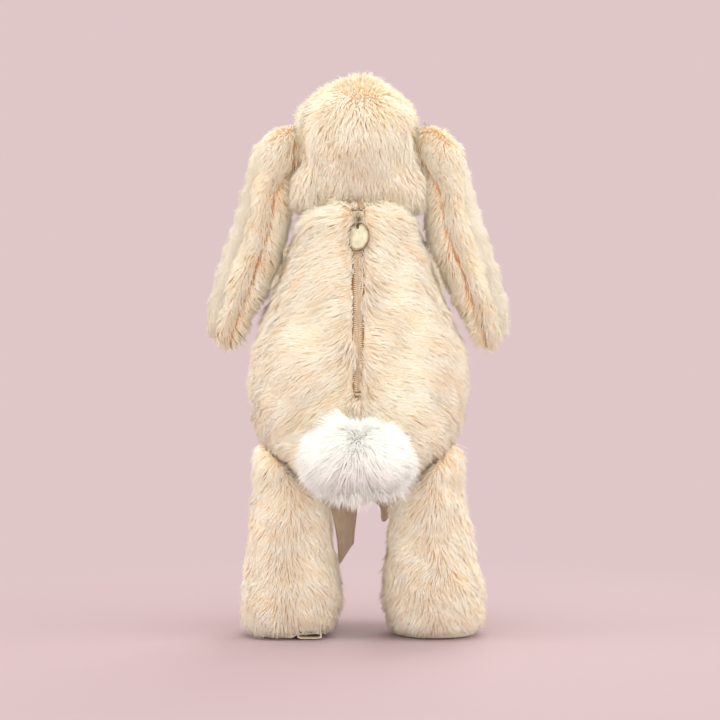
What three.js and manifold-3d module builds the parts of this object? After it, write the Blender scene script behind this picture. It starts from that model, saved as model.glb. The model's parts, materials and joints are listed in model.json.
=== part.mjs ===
// Plush rabbit backpack in millimetres, +Z up. The face looks towards -Y, the zip and tail
// are on the +Y side, and the rabbit's left is +X. The soles stand on z = 0.
import * as THREE from "three";
import Module from "manifold-3d";
import { mergeVertices } from "three/addons/utils/BufferGeometryUtils.js";

const wasm = await Module();
wasm.setup();

// ---------------------------------------------------------------- driving dimensions
const SIDES = [["left", 1], ["right", -1]];
const SEGMENTS = 20; // points round a soft form
const CENTRING = -5.37; // moves the whole model along Y so that its box is centred on the origin
const GAP = 0.3; // clearance between sewn neighbours
const CLOTH = 6; // plush cloth with its pile pressed flat
const POCKET = { front: 0, bottom: 172, top: 290, lining: 2.2 };
const ZIP = { topZ: 308, topY: 36.6, lean: 0.113, length: 130, pitch: 3 };
const ZIP_SLOT = 5.2; // half width of the slot between the back panels
const TAG = { radius: 10, thickness: 1.6, hole: 1.5, inset: 2.6, turn: 0.63 };
const RING = { radius: 3.6, wire: 0.45 };
const EYE = { x: 24, z: 357, radius: 5.6, shank: 1.6 };
const ARM = { top: [45, -52, 259], end: [43.5, -69, 184], radius: 16.5 };
const LEG_X = 49; // middle of a leg, from the centre plane
const SPLAY = { left: 0, right: 8 }; // how much farther out the foot stands than the hip
const STRAP = { width: 22, web: 2.2, pad: 5, x: 14 };
const ADJUSTER = { z: 143, height: 12, wall: 1.8 };

// Each station is [z, half width, depth to the front, depth to the back, centre x].
const TORSO = [
  [100.5, 0, 0, 0], [103, 20, 6, 12], [110, 38, 13, 27], [120, 52, 20, 38], [132, 62, 33, 44],
  [150, 71, 49, 49], [180, 76, 54, 51], [211, 73, 53, 48], [244, 61, 49, 44], [278, 47.5, 41, 40.5],
  [290, 42, 36, 38.7], [300, 34, 29, 36.5], [305, 26, 23, 30], [309, 14, 12, 19], [311, 0, 0, 0],
];
const HEAD = [
  [312.4, 0, 0, 0], [313, 26, 9, 9], [315.5, 38, 17, 17], [321, 44, 28, 27], [329, 46.5, 38, 36],
  [342, 47, 45, 43], [356, 46, 48, 46], [369, 43.5, 46, 45], [381, 38, 41, 40], [391, 29.5, 32, 32],
  [399, 18.5, 20, 20], [403, 9, 10, 10], [404.5, 0, 0, 0],
];
const MUZZLE = [
  [318, 0, 0, 0], [320, 11, 7, 7], [325, 18, 12, 12], [333, 21, 15, 15], [341, 18, 13, 13],
  [347, 11, 8, 8], [350, 0, 0, 0],
];
const LEG = [
  [0, 24, 46, 16], [3, 28, 52, 21], [9, 31, 57, 25], [21, 32.5, 59, 27.5], [35, 32.5, 57, 28],
  [47, 31, 50, 28], [59, 29, 41, 28], [73, 27.5, 33, 27.5], [92, 25.5, 27, 27], [112, 24.5, 25, 27],
  [123, 23, 23, 26, 2], [134, 18, 19, 24, 6], [144, 11, 13, 17, 11], [150, 5, 6, 8, 15],
];
const EAR = [
  [211, 3, 3, 3, 94], [216, 9, 6, 6, 93.5], [226, 14, 9, 9, 92], [240, 17, 11, 11, 88.5],
  [260, 19.5, 12, 12, 83.5], [283, 20, 12, 12, 77], [306, 19, 12, 12, 71.5], [328, 16, 12, 12, 67.5],
  [346, 13, 12, 12, 63.5], [360, 10.5, 10, 10, 58.5], [368, 8, 8, 8, 54.5], [373, 3, 3, 3, 50],
];
const TAIL = [
  [103, 0, 0, 0], [106, 15, 10, 10], [114, 27, 19, 19], [124, 33, 23, 23], [134, 34, 24, 24],
  [145, 30, 21, 21], [154, 21, 15, 15], [159, 10, 7, 7], [161, 0, 0, 0],
];

// ---------------------------------------------------------------- materials
const paint = (color, roughness, metalness = 0) => new THREE.MeshStandardMaterial({ color, roughness, metalness });
const plush = paint(0xf2e1c4, 0.95);
const shortPile = paint(0xe8dcc0, 0.9);
const pompom = paint(0xf3f1e8, 0.95);
const filling = paint(0xfafafa, 0.95);
const liningCloth = paint(0xe9dcc3, 0.85);
const tape = paint(0xc49f78, 0.8);
const nylon = paint(0xd0ac88, 0.45);
const metal = paint(0xd8d0b0, 0.28, 1);
const twill = paint(0xc8af87, 0.85);
const bead = paint(0x1a1210, 0.12);
const stitched = paint(0xd99a93, 0.6);
const pellets = paint(0xd9d9d2, 0.5);
const plastic = paint(0xe6e2da, 0.5);

// ---------------------------------------------------------------- geometry helpers
/** Keeps only merged positions, and drops the triangles that a pole squeezes to nothing. */
function weld(geometry) {
  const bare = new THREE.BufferGeometry();
  bare.setAttribute("position", geometry.getAttribute("position").clone());
  if (geometry.index) bare.setIndex(geometry.index.clone());
  const merged = mergeVertices(bare, 1e-4);
  const kept = [];
  for (let i = 0; i < merged.index.count; i += 3) {
    const [a, b, c] = [0, 1, 2].map((k) => merged.index.getX(i + k));
    if (a !== b && b !== c && c !== a) kept.push(a, b, c);
  }
  merged.setIndex(kept);
  return merged;
}

function solid(geometry) {
  const welded = weld(geometry);
  const vertProperties = new Float32Array(welded.getAttribute("position").array);
  const triVerts = new Uint32Array(welded.index.array);
  return new wasm.Manifold(new wasm.Mesh({ numProp: 3, vertProperties, triVerts }));
}

function geometryOf(manifold) {
  const mesh = manifold.getMesh();
  const geometry = new THREE.BufferGeometry();
  geometry.setAttribute("position", new THREE.BufferAttribute(new Float32Array(mesh.vertProperties), 3));
  geometry.setIndex(Array.from(mesh.triVerts));
  geometry.computeVertexNormals();
  return geometry;
}

/** Skins a stack of equal rings, from the lowest up, and closes both ends with a fan. */
function skin(rings) {
  const count = rings[0].length;
  const centre = (ring) => ring.reduce((sum, p) => sum.add(p), new THREE.Vector3()).divideScalar(count);
  const points = [...rings.flat(), centre(rings[0]), centre(rings[rings.length - 1])];
  const [bottom, top] = [points.length - 2, points.length - 1];
  const last = (rings.length - 1) * count;
  const index = [];
  for (let i = 0; i < count; i += 1) {
    const next = (i + 1) % count;
    for (let row = 0; row < last; row += count) {
      index.push(row + i, row + next, row + count + next, row + i, row + count + next, row + count + i);
    }
    index.push(bottom, next, i, top, last + i, last + next);
  }
  const geometry = new THREE.BufferGeometry().setFromPoints(points);
  geometry.setIndex(index);
  return geometry;
}

/** A stuffed form through its stations, grown or shrunk by the same amount on all sides. */
function stuffed(stations, { grow = 0, y = 0, place = (z, x) => x, segments = SEGMENTS } = {}) {
  const [low, high] = [stations[0][0], stations[stations.length - 1][0]];
  const stretch = 1 + (2 * grow) / (high - low);
  const level = (z) => (low + high) / 2 + (z - (low + high) / 2) * stretch;
  const narrowest = ([, half, front, back]) => Math.min(half, front, back);
  const kept = stations.filter((station) => narrowest(station) > 0 && narrowest(station) + grow > 1);
  const rows = kept.map(([z, half, front, back, x = 0]) => {
    const points = [];
    for (let i = 0; i < segments; i += 1) {
      const turn = (2 * Math.PI * i) / segments;
      const depth = (Math.sin(turn) < 0 ? front : back) + grow;
      points.push(new THREE.Vector3(place(z, x) + (half + grow) * Math.cos(turn), y + depth * Math.sin(turn), level(z)));
    }
    return points;
  });
  const geometry = skin(rows);
  const position = geometry.getAttribute("position");
  if (stations[0][1] === 0 && grow >= 0) position.setZ(position.count - 2, level(low));
  if (stations[stations.length - 1][1] === 0 && grow >= 0) position.setZ(position.count - 1, level(high));
  return geometry;
}

/** A box given by its two corners, used to cut and to keep parts of solids. */
function block([x0, y0, z0], [x1, y1, z1]) {
  const geometry = new THREE.BoxGeometry(x1 - x0, y1 - y0, z1 - z0);
  return geometry.translate((x0 + x1) / 2, (y0 + y1) / 2, (z0 + z1) / 2);
}

/** A rod of a given radius between two points. */
function rod(from, to, radius, segments = 12) {
  const [a, b] = [new THREE.Vector3(...from), new THREE.Vector3(...to)];
  const geometry = new THREE.CylinderGeometry(radius, radius, a.distanceTo(b), segments);
  const along = b.clone().sub(a).normalize();
  geometry.applyQuaternion(new THREE.Quaternion().setFromUnitVectors(new THREE.Vector3(0, 1, 0), along));
  return geometry.translate(...a.add(b).divideScalar(2).toArray());
}

/** A ball stretched to three radii. */
function ball([rx, ry, rz], [x, y, z], segments = 16) {
  return new THREE.SphereGeometry(1, segments, segments / 2).scale(rx, ry, rz).translate(x, y, z);
}

/** A flat band of cloth along a smooth route; each stop is [x, y, z, roll of its width about the route]. */
function band(stops, width, thickness, steps) {
  const curve = new THREE.CatmullRomCurve3(stops.map(([x, y, z]) => new THREE.Vector3(x, y, z)), false, "centripetal");
  const rings = [];
  for (let i = 0; i <= steps; i += 1) {
    const t = i / steps;
    const place = curve.getPoint(t);
    const along = curve.getTangent(t);
    const stop = t * (stops.length - 1);
    const k = Math.min(Math.floor(stop), stops.length - 2);
    const roll = THREE.MathUtils.lerp(stops[k][3], stops[k + 1][3], stop - k);
    const across = new THREE.Vector3(1, 0, 0);
    across.addScaledVector(along, -across.dot(along)).normalize().applyAxisAngle(along, roll);
    const out = new THREE.Vector3().crossVectors(along, across);
    const corner = (u, v) => place.clone().addScaledVector(across, (u * width) / 2).addScaledVector(out, (v * thickness) / 2);
    rings.push([corner(-1, -1), corner(1, -1), corner(1, 1), corner(-1, 1)]);
  }
  return skin(rings);
}

const rabbit = new THREE.Group();
rabbit.position.y = CENTRING;

function add(name, shape, material, parent = rabbit) {
  const geometry = shape.isBufferGeometry ? weld(shape) : geometryOf(shape);
  const mesh = new THREE.Mesh(geometry, material);
  mesh.name = name;
  parent.add(mesh);
  return mesh;
}

// ---------------------------------------------------------------- torso with its pocket
const FAR = 400;
const torsoOuter = solid(stuffed(TORSO));
const torsoInner = solid(stuffed(TORSO, { grow: -CLOTH }));
const torsoCleared = solid(stuffed(TORSO, { grow: 0.9 }));
const stuffingRoom = solid(stuffed(TORSO, { grow: -CLOTH - 0.4 }));

function makeTorso() {
  const shell = torsoOuter.subtract(torsoInner);
  const slot = solid(block([-ZIP_SLOT, 0, POCKET.bottom + 2], [ZIP_SLOT, FAR, FAR]));
  const seam = GAP / 2;
  add("belly_panel", shell.intersect(solid(block([-FAR, -FAR, 0], [FAR, -seam, FAR]))), plush);
  for (const [name, side] of SIDES) {
    const [low, high] = side > 0 ? [seam, FAR] : [-FAR, -seam];
    const half = shell.intersect(solid(block([low, seam, 0], [high, FAR, FAR])));
    add(`back_panel_${name}`, half.subtract(slot), plush);
  }
  const { front, bottom, top, lining } = POCKET;
  const outside = stuffingRoom.intersect(solid(block([-FAR, front, bottom], [FAR, FAR, top])));
  const room = solid(stuffed(TORSO, { grow: -CLOTH - 0.4 - lining }));
  const inside = room.intersect(solid(block([-FAR, front + lining, bottom + lining], [FAR, FAR, top - lining])));
  const walls = outside.subtract(inside).subtract(slot);
  const frontWall = solid(block([-FAR, -FAR, 0], [FAR, front + lining, FAR]));
  const backWall = solid(block([-FAR, front + lining + GAP, 0], [FAR, FAR, FAR]));
  add("pocket_lining_front", walls.intersect(frontWall), liningCloth);
  add("pocket_lining_back", walls.intersect(backWall), liningCloth);
  const pocketRoom = solid(block([-FAR, front - GAP, bottom - GAP], [FAR, FAR, top + GAP]));
  add("torso_stuffing", stuffingRoom.subtract(pocketRoom), filling);
}

// ---------------------------------------------------------------- zip, slider, ring and tag
const zip = new THREE.Group();
zip.position.set(0, ZIP.topY, ZIP.topZ);
zip.rotation.x = ZIP.lean;
rabbit.add(zip);

/** One side of the chain: a spine with a tooth at every pitch, reaching across the middle. */
function toothRow(side, offset) {
  const [edge, root, tip, thickness] = [2.5, 1.5, -0.9, 1.1];
  const comb = new THREE.Shape();
  comb.moveTo(side * edge, -ZIP.length);
  comb.lineTo(side * root, -ZIP.length);
  for (let z = -ZIP.length + 1 + offset; z < -2.2; z += ZIP.pitch) {
    comb.lineTo(side * root, z);
    comb.lineTo(side * tip, z);
    comb.lineTo(side * tip, z + thickness);
    comb.lineTo(side * root, z + thickness);
  }
  comb.lineTo(side * root, -1);
  comb.lineTo(side * edge, -1);
  comb.closePath();
  const row = new THREE.ExtrudeGeometry(comb, { depth: 1.7, bevelEnabled: false });
  return row.rotateX(Math.PI / 2).translate(0, 1.6, 0);
}

function roundedPlate(halfWidth, halfLength, corner, thickness) {
  const plate = new THREE.Shape();
  plate.moveTo(-halfWidth + corner, -halfLength);
  plate.absarc(halfWidth - corner, -halfLength + corner, corner, -Math.PI / 2, 0);
  plate.absarc(halfWidth - corner, halfLength - corner, corner, 0, Math.PI / 2);
  plate.absarc(-halfWidth + corner, halfLength - corner, corner, Math.PI / 2, Math.PI);
  plate.absarc(-halfWidth + corner, -halfLength + corner, corner, Math.PI, 1.5 * Math.PI);
  return new THREE.ExtrudeGeometry(plate, { depth: thickness, bevelEnabled: false, curveSegments: 4 });
}

/** The slider's upper plate with the bridge that holds the ring; the bridge's eye runs along X. */
function sliderTop(length, eye) {
  const plate = roundedPlate(4.2, length / 2, 1.4, 1.1).rotateX(Math.PI / 2).translate(0, 3, eye.z);
  const arch = new THREE.Shape();
  arch.moveTo(-3.4, 0);
  arch.lineTo(3.4, 0);
  arch.lineTo(3, eye.y - 2.6);
  arch.absarc(0, eye.y - 2.6, 3, 0, Math.PI);
  arch.closePath();
  const hole = new THREE.Path();
  hole.absarc(0, eye.y - 2.6, 1.9, 0, 2 * Math.PI, true);
  arch.holes.push(hole);
  const bridge = new THREE.ExtrudeGeometry(arch, { depth: 1, bevelEnabled: false, curveSegments: 8 });
  bridge.translate(0, 2.6, -0.5).rotateY(Math.PI / 2).translate(0, 0, eye.z);
  return solid(plate).add(solid(bridge));
}

function makeZip() {
  const { length, pitch } = ZIP;
  for (const [name, side] of SIDES) {
    const [low, high] = [side * 1.2, side * 4.8].sort((a, b) => a - b);
    add(`zip_tape_${name}`, block([low, -1.6, -length], [high, -0.4, 1.4]), tape, zip);
    add(`zip_teeth_${name}`, toothRow(side, side > 0 ? 0 : pitch / 2), nylon, zip);
    const [inner, outer] = [side * 1.2, side * 3.2].sort((a, b) => a - b);
    add(`zip_top_stop_${name}`, block([inner, -0.1, -0.5], [outer, 1.8, 1.4]), metal, zip);
  }
  add("zip_bottom_stop", block([-2.6, -0.1, -length - 2.2], [2.6, 1.8, -length - GAP]), metal, zip);

  const eye = { y: 7.4, z: -6 };
  add("zip_slider", sliderTop(9, eye), metal, zip);
  const under = roundedPlate(4.2, 4.5, 1.4, 1).rotateX(Math.PI / 2).translate(0, -1.9, eye.z);
  add("zip_slider_under_plate", under, metal, zip);

  const pull = new THREE.Group();
  pull.position.set(0, eye.y, eye.z);
  pull.rotation.z = -TAG.turn;
  zip.add(pull);
  const wire = new THREE.Path().absarc(RING.radius, 0, RING.wire, 0, 2 * Math.PI).getPoints(3);
  const ring = new THREE.LatheGeometry(wire, 18).rotateZ(Math.PI / 2).translate(0, 0, -RING.radius);
  add("pull_ring", ring, metal, pull);
  const hang = -2 * RING.radius;
  const disc = rod([0, -TAG.thickness / 2, 0], [0, TAG.thickness / 2, 0], TAG.radius, 36);
  disc.translate(0, 0, hang + TAG.inset - TAG.radius);
  add("pull_tag", solid(disc).subtract(solid(rod([0, -3, hang], [0, 3, hang], TAG.hole))), metal, pull);
}

// ---------------------------------------------------------------- head
function makeHead() {
  const eyeDepth = -23; // how far back the shanks reach, inside the head
  let cloth = solid(stuffed(HEAD)).subtract(solid(stuffed(HEAD, { grow: -CLOTH })));
  let inside = solid(stuffed(HEAD, { grow: -CLOTH - 0.4 }));
  cloth = cloth.subtract(solid(rod([0, 0, 300], [0, 0, 330], 6)));
  const headCleared = solid(stuffed(HEAD, { grow: GAP }));
  const faceY = -40.5; // surface of the face where an eye sits
  for (const [name, side] of SIDES) {
    const x = side * EYE.x;
    const hole = solid(rod([x, -60, EYE.z], [x, eyeDepth, EYE.z], EYE.shank + GAP));
    cloth = cloth.subtract(hole);
    const dome = solid(ball([EYE.radius, 4.4, EYE.radius], [x, faceY - 1, EYE.z])).subtract(headCleared);
    const shank = solid(rod([x, faceY - 2, EYE.z], [x, eyeDepth - 1.2, EYE.z], EYE.shank, 10));
    add(`eye_${name}`, dome.add(shank), bead);
    const washerRoom = solid(rod([x, -60, EYE.z], [x, eyeDepth, EYE.z], 7));
    const washer = solid(rod([x, -26.4, EYE.z], [x, -24.8, EYE.z], 6, 16)).subtract(hole);
    inside = inside.subtract(washerRoom);
    add(`eye_washer_${name}`, washer, plastic);
  }
  add("head_plush", cloth, plush);
  add("head_stuffing", inside, filling);

  const muzzle = solid(stuffed(MUZZLE, { y: -50 })).subtract(headCleared);
  const muzzleCleared = solid(stuffed(MUZZLE, { y: -50, grow: GAP }));
  add("muzzle", muzzle, shortPile);
  const nose = solid(ball([7, 5, 4.6], [0, -62, 343], 12)).subtract(muzzleCleared).subtract(headCleared);
  add("nose", nose, stitched);
}

// ---------------------------------------------------------------- ears, arms, legs, tail
function makeEar(name, side) {
  const place = (z, x) => side * x;
  const liningPlace = (z, x) => side * (x + 6);
  const flat = EAR.slice(1, -2).map(([z, half, , , x]) => [z, half - 1.5, 3.6, 3.6, x]);
  const lining = stuffed(flat, { place: liningPlace, segments: 12 });
  const liningRoom = solid(stuffed(flat, { place: liningPlace, segments: 12, grow: GAP + 0.1 }));
  const outer = solid(stuffed(EAR, { place, segments: 16 }));
  add(`ear_${name}_plush`, outer.subtract(liningRoom), plush);
  add(`ear_${name}_lining`, lining, shortPile);
}

function makeArm(name, side) {
  const { top, end, radius } = ARM;
  const [a, b] = [top, end].map(([x, y, z]) => new THREE.Vector3(side * x, y, z));
  const sleeve = new THREE.CapsuleGeometry(radius, a.distanceTo(b), 4, 16);
  const up = a.clone().sub(b).normalize();
  sleeve.applyQuaternion(new THREE.Quaternion().setFromUnitVectors(new THREE.Vector3(0, 1, 0), up));
  sleeve.translate(...a.add(b).divideScalar(2).toArray());
  add(`arm_${name}`, solid(sleeve), plush);
}

function makeLeg(name, side, tuckedStrap) {
  const splay = SPLAY[name];
  const lean = (z) => (splay * (112 - Math.min(z, 112))) / 112;
  const place = (z, x) => side * (LEG_X + x + lean(z));
  const segments = 16;
  const bare = solid(stuffed(LEG, { place, segments })).subtract(torsoCleared);
  const leg = tuckedStrap ? bare.subtract(tuckedStrap) : bare;
  const inner = (grow, low, high) =>
    solid(stuffed(LEG, { place, grow, segments }))
      .intersect(solid(block([-FAR, -FAR, low], [FAR, FAR, high])))
      .subtract(solid(stuffed(TORSO, { grow: 1 - grow })));
  const sole = 4; // thickness of the sole panel
  const hipEye = solid(rod([place(90, 0), 0, 90], [place(90, 0), 0, 160], 8));
  const hollow = inner(-CLOTH, sole + 4, 140).add(hipEye);
  const upper = solid(block([-FAR, -FAR, sole + GAP], [FAR, FAR, FAR]));
  const lower = solid(block([-FAR, -FAR, -1], [FAR, FAR, sole]));
  add(`leg_${name}_plush`, leg.intersect(upper).subtract(hollow), plush);
  add(`sole_${name}`, leg.intersect(lower), shortPile);
  const bagTop = 30; // the plastic pellets fill the foot up to here
  add(`foot_pellets_${name}`, inner(-CLOTH - 0.4, sole + 4.4, bagTop), pellets);
  add(`leg_${name}_stuffing`, inner(-CLOTH - 0.4, bagTop + 0.4, 112), filling);
}

function makeTail() {
  const middle = [0, 72, 133];
  const core = solid(ball([13, 12, 13], middle, 12)).add(solid(rod([0, 49.5, 133], [0, 66, 133], 4)));
  const coreRoom = solid(ball([13.4, 12.4, 13.4], middle, 12)).add(solid(rod([0, 40, 133], [0, 66, 133], 4.4)));
  add("tail_pompom", solid(stuffed(TAIL, { y: middle[1], segments: 16 })).subtract(coreRoom), pompom);
  add("tail_core", core, filling);
}

// ---------------------------------------------------------------- carrying straps
const quarter = Math.PI / 2;
// Each lower band hangs as a loop from the pad's end to the seat of the body.
const LOOPS = {
  left: [
    [14, -66, 164.4, 0], [14, -66, 142, 0], [14, -66, 122, 0], [10, -62, 94, 0.4], [9, -50, 68, 0.9],
    [9, -38, 57, 1], [9, -26, 66, 1], [10, -15, 84, 0.8], [11, -8, 98.5, 0.3],
  ],
  right: [
    [-14, -66, 164.4, 0], [-14, -66, 142, 0], [-14, -66, 122, 0], [-13, -62, 107, -0.8],
    [-17, -52, 93, -1.4], [-18.5, -38, 90, -quarter], [-17.5, -24, 92, -1.2], [-13, -9, 98, -0.2],
  ],
};
const PAD_ROUTE = [
  [-37.4, 291.5], [-50, 288], [-61, 275], [-67, 252], [-69.5, 222], [-69, 192], [-66, 165],
];

function makeStrap(name, side) {
  const pad = PAD_ROUTE.map(([y, z]) => [side * STRAP.x, y, z, 0]);
  add(`strap_pad_${name}`, band(pad, STRAP.width, STRAP.pad, 14), twill);
  add(`strap_band_${name}`, band(LOOPS[name], STRAP.width - 2, STRAP.web, 30), twill);
  const { z, height, wall } = ADJUSTER;
  const [halfWidth, halfDepth] = [STRAP.width / 2 - 0.4, STRAP.web / 2 + 0.7];
  const frameAt = (x, y) => block([side * STRAP.x - x, -66 - y, z - height / 2], [side * STRAP.x + x, -66 + y, z + height / 2]);
  const throat = block(
    [side * STRAP.x - halfWidth, -66 - halfDepth, 0],
    [side * STRAP.x + halfWidth, -66 + halfDepth, FAR],
  );
  add(`strap_adjuster_${name}`, solid(frameAt(halfWidth + wall, halfDepth + wall)).subtract(solid(throat)), metal);
}

/** The left band's loose tail: down in front of the foot, under the sole, and hemmed at the heel. */
const TAIL_BAND = { x: 35, width: 15, thickness: 1.8, rise: 1.6 };
function looseTail(grow) {
  const { x, width, thickness, rise } = TAIL_BAND;
  const stops = [
    [x, -66, 78, 0], [x, -67, 50, 0], [x, -67, 20, 0], [x, -62, 5, 0], [x, -52, rise, 0],
    [x, -20, rise, 0], [x, 12, rise, 0],
  ];
  const flat = solid(band(stops, width + 2 * grow, thickness + 2 * grow, 26));
  const hem = solid(block([x - 9 - grow, 7 - grow, 0.35 - grow], [x + 9 + grow, 22 + grow, 5.4 + grow]));
  return flat.add(hem);
}

makeTorso();
makeZip();
makeHead();
makeTail();
const hemEye = solid(block([TAIL_BAND.x - 7, 0, 2], [TAIL_BAND.x + 7, 40, 3.8]));
add("strap_tail_left", looseTail(0).subtract(hemEye.intersect(solid(block([-FAR, 8, 0], [FAR, FAR, FAR])))), twill);
for (const [name, side] of SIDES) {
  makeEar(name, side);
  makeArm(name, side);
  makeLeg(name, side, side > 0 ? looseTail(GAP).add(solid(block([24, 5, -1], [46, 30, 6]))) : null);
  makeStrap(name, side);
}

export default rabbit;
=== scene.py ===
"""The looks of a plush rabbit backpack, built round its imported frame.

Lengths are metres, and MM is one millimetre. The rabbit faces -Y, its zip and tail are at +Y, its
left is +X and its soles stand on z = 0. Every soft form is read off the frame, filled by a cloth
simulation, and then covered with a pile of real tapered locks.
"""

import json
import math

import bpy
import numpy as np
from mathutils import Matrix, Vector
from mathutils.bvhtree import BVHTree
from mathutils.kdtree import KDTree


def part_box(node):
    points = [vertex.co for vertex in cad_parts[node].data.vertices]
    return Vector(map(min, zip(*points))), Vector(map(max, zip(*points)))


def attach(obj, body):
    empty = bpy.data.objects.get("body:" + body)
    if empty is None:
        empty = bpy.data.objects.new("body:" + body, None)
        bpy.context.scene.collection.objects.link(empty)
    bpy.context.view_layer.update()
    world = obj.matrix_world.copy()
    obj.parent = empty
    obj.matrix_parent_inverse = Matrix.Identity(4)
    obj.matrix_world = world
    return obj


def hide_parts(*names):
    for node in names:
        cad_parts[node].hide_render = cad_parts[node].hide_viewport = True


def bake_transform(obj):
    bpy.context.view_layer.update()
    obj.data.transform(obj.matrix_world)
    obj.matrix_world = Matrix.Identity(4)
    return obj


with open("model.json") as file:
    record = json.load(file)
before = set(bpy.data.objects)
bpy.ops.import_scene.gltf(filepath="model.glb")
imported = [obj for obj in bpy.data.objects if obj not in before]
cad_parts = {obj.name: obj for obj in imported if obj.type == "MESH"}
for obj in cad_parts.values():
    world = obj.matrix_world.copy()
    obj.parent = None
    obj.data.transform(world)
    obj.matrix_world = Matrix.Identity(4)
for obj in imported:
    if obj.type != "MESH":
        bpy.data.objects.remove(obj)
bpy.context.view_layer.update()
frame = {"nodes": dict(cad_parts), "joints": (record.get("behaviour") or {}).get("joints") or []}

MM = 0.001
SIDES = (("left", 1), ("right", -1))


# ---------- camera, light and floor
AIM = Vector((-0.0014, 0.0, 0.201))
VIEW_WIDTH = 0.521  # what the picture spans at the rabbit
LENS, SENSOR = 105, 36
ELEVATION = math.radians(1.0)
BACKDROP = (0.74, 0.57, 0.58)
FLOOR_COLOUR = (0.47, 0.37, 0.38)
FLOOR_HALF = 6.0
FLOOR_FADE = (0.1, 0.5)  # how far out the floor starts to fade, and where only the backdrop is left
LAMP_COLOUR = (0.965, 1.0, 0.98)
LAMPS = (  # name, place, watts, size
    ("key", (0.7, 1.9, 1.0), 8, 1.4),
    ("fill", (-1.1, 1.7, 0.35), 8.4, 1.4),
    ("left", (1.8, 0.5, 0.6), 21, 1.2),
    ("right", (-1.8, 0.5, 0.6), 21, 1.2),
    ("front", (-0.7, -1.8, 1.0), 22, 1.4),
    ("top", (0.0, 0.4, 1.9), 14, 1.6),
    ("low", (0.0, 1.9, 0.12), 9.5, 1.0),
)


def make_camera():
    """A long lens behind the rabbit, a little above the middle of its back."""
    data = bpy.data.cameras.new("camera")
    data.lens, data.sensor_width = LENS, SENSOR
    camera = bpy.data.objects.new("camera", data)
    bpy.context.scene.collection.objects.link(camera)
    distance = VIEW_WIDTH * LENS / SENSOR
    back = Vector((0.0, math.cos(ELEVATION), math.sin(ELEVATION)))
    camera.location = AIM + back * distance
    camera.rotation_euler = (-back).to_track_quat("-Z", "Y").to_euler()
    bpy.context.scene.camera = camera


def make_light(name, place, power, size, colour):
    """A soft square lamp that looks at the middle of the rabbit."""
    data = bpy.data.lights.new(name, "AREA")
    data.energy, data.size, data.color = power, size, colour
    lamp = bpy.data.objects.new(name, data)
    bpy.context.scene.collection.objects.link(lamp)
    lamp.location = place
    lamp.rotation_euler = (AIM - Vector(place)).to_track_quat("-Z", "Y").to_euler()


def make_stage():
    """A pale floor that fades into an equally pale surround, under soft lamps all round."""
    world = bpy.data.worlds.new("surround")
    bpy.context.scene.world = world
    world.use_nodes = True
    world.node_tree.nodes["Background"].inputs["Color"].default_value = (*BACKDROP, 1)
    bpy.context.scene.view_settings.view_transform = "Standard"
    for name, place, power, size in LAMPS:
        make_light(name, place, power, size, LAMP_COLOUR)

    corners = [(x * FLOOR_HALF, y * FLOOR_HALF, 0) for x, y in ((-1, -1), (1, -1), (1, 1), (-1, 1))]
    floor = mesh_object("floor", corners, [(0, 1, 2, 3)])
    tree = Nodes("floor_paper")
    away = tree.add("ShaderNodeVectorMath", operation="LENGTH")
    tree.link(tree.add("ShaderNodeNewGeometry").outputs["Position"], away.inputs[0])
    fade = tree.ramp(away.outputs["Value"], ((0.0, (0, 0, 0)), (1.0, (1, 1, 1))), scale=FLOOR_FADE)
    glow = tree.add("ShaderNodeEmission")
    glow.inputs["Color"].default_value = (*BACKDROP, 1)
    mix = tree.add("ShaderNodeMixShader")
    tree.surface.inputs["Base Color"].default_value = (*FLOOR_COLOUR, 1)
    tree.surface.inputs["Roughness"].default_value = 0.9
    tree.link(fade, mix.inputs["Fac"])
    tree.link(tree.surface.outputs["BSDF"], mix.inputs[1])
    tree.link(glow.outputs["Emission"], mix.inputs[2])
    tree.link(mix.outputs["Shader"], tree.output.inputs["Surface"])
    floor.data.materials.append(tree.material)


# ---------- meshes
def mesh_object(name, points, faces, materials=(), tones=None):
    """A smooth mesh object from points and faces that all have the same number of corners."""
    faces = np.asarray(faces, np.int32)
    count, corners = faces.shape
    mesh = bpy.data.meshes.new(name)
    mesh.vertices.add(len(points))
    mesh.vertices.foreach_set("co", np.asarray(points, np.float32).ravel())
    mesh.loops.add(count * corners)
    mesh.loops.foreach_set("vertex_index", faces.ravel())
    mesh.polygons.add(count)
    mesh.polygons.foreach_set("loop_start", np.arange(0, count * corners, corners, dtype=np.int32))
    mesh.polygons.foreach_set("use_smooth", np.ones(count, bool))
    for material in materials:
        mesh.materials.append(material)
    if tones is not None:
        mesh.polygons.foreach_set("material_index", np.asarray(tones, np.int32))
    mesh.update(calc_edges=True)
    obj = bpy.data.objects.new(name, mesh)
    bpy.context.scene.collection.objects.link(obj)
    return obj


def read_rows(items, attribute, width, kind=np.float32):
    """An attribute of all of a mesh's items, a row of numbers for each."""
    values = np.empty(len(items) * width, kind)
    items.foreach_get(attribute, values)
    return values.reshape(-1, width)


def points_of(obj):
    return read_rows(obj.data.vertices, "co", 3).astype(float)


def set_points(obj, points):
    obj.data.vertices.foreach_set("co", np.asarray(points, np.float32).ravel())
    obj.data.update()


def unit(vectors):
    return vectors / np.maximum(np.linalg.norm(vectors, axis=-1, keepdims=True), 1e-12)


def smoothstep(x, low, high):
    t = np.clip((np.asarray(x, float) - low) / (high - low), 0, 1)
    return t * t * (3 - 2 * t)


def turns(count, shift=0.0):
    """Angles spaced evenly round a circle."""
    return (np.arange(count) + shift) * 2 * math.pi / count


def squarish(turn, power_u, power_v):
    """Points round a unit square with rounded corners; a power of 1 gives a circle."""
    u = np.sign(np.cos(turn)) * abs(np.cos(turn)) ** power_u
    return u, np.sign(np.sin(turn)) * abs(np.sin(turn)) ** power_v


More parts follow.
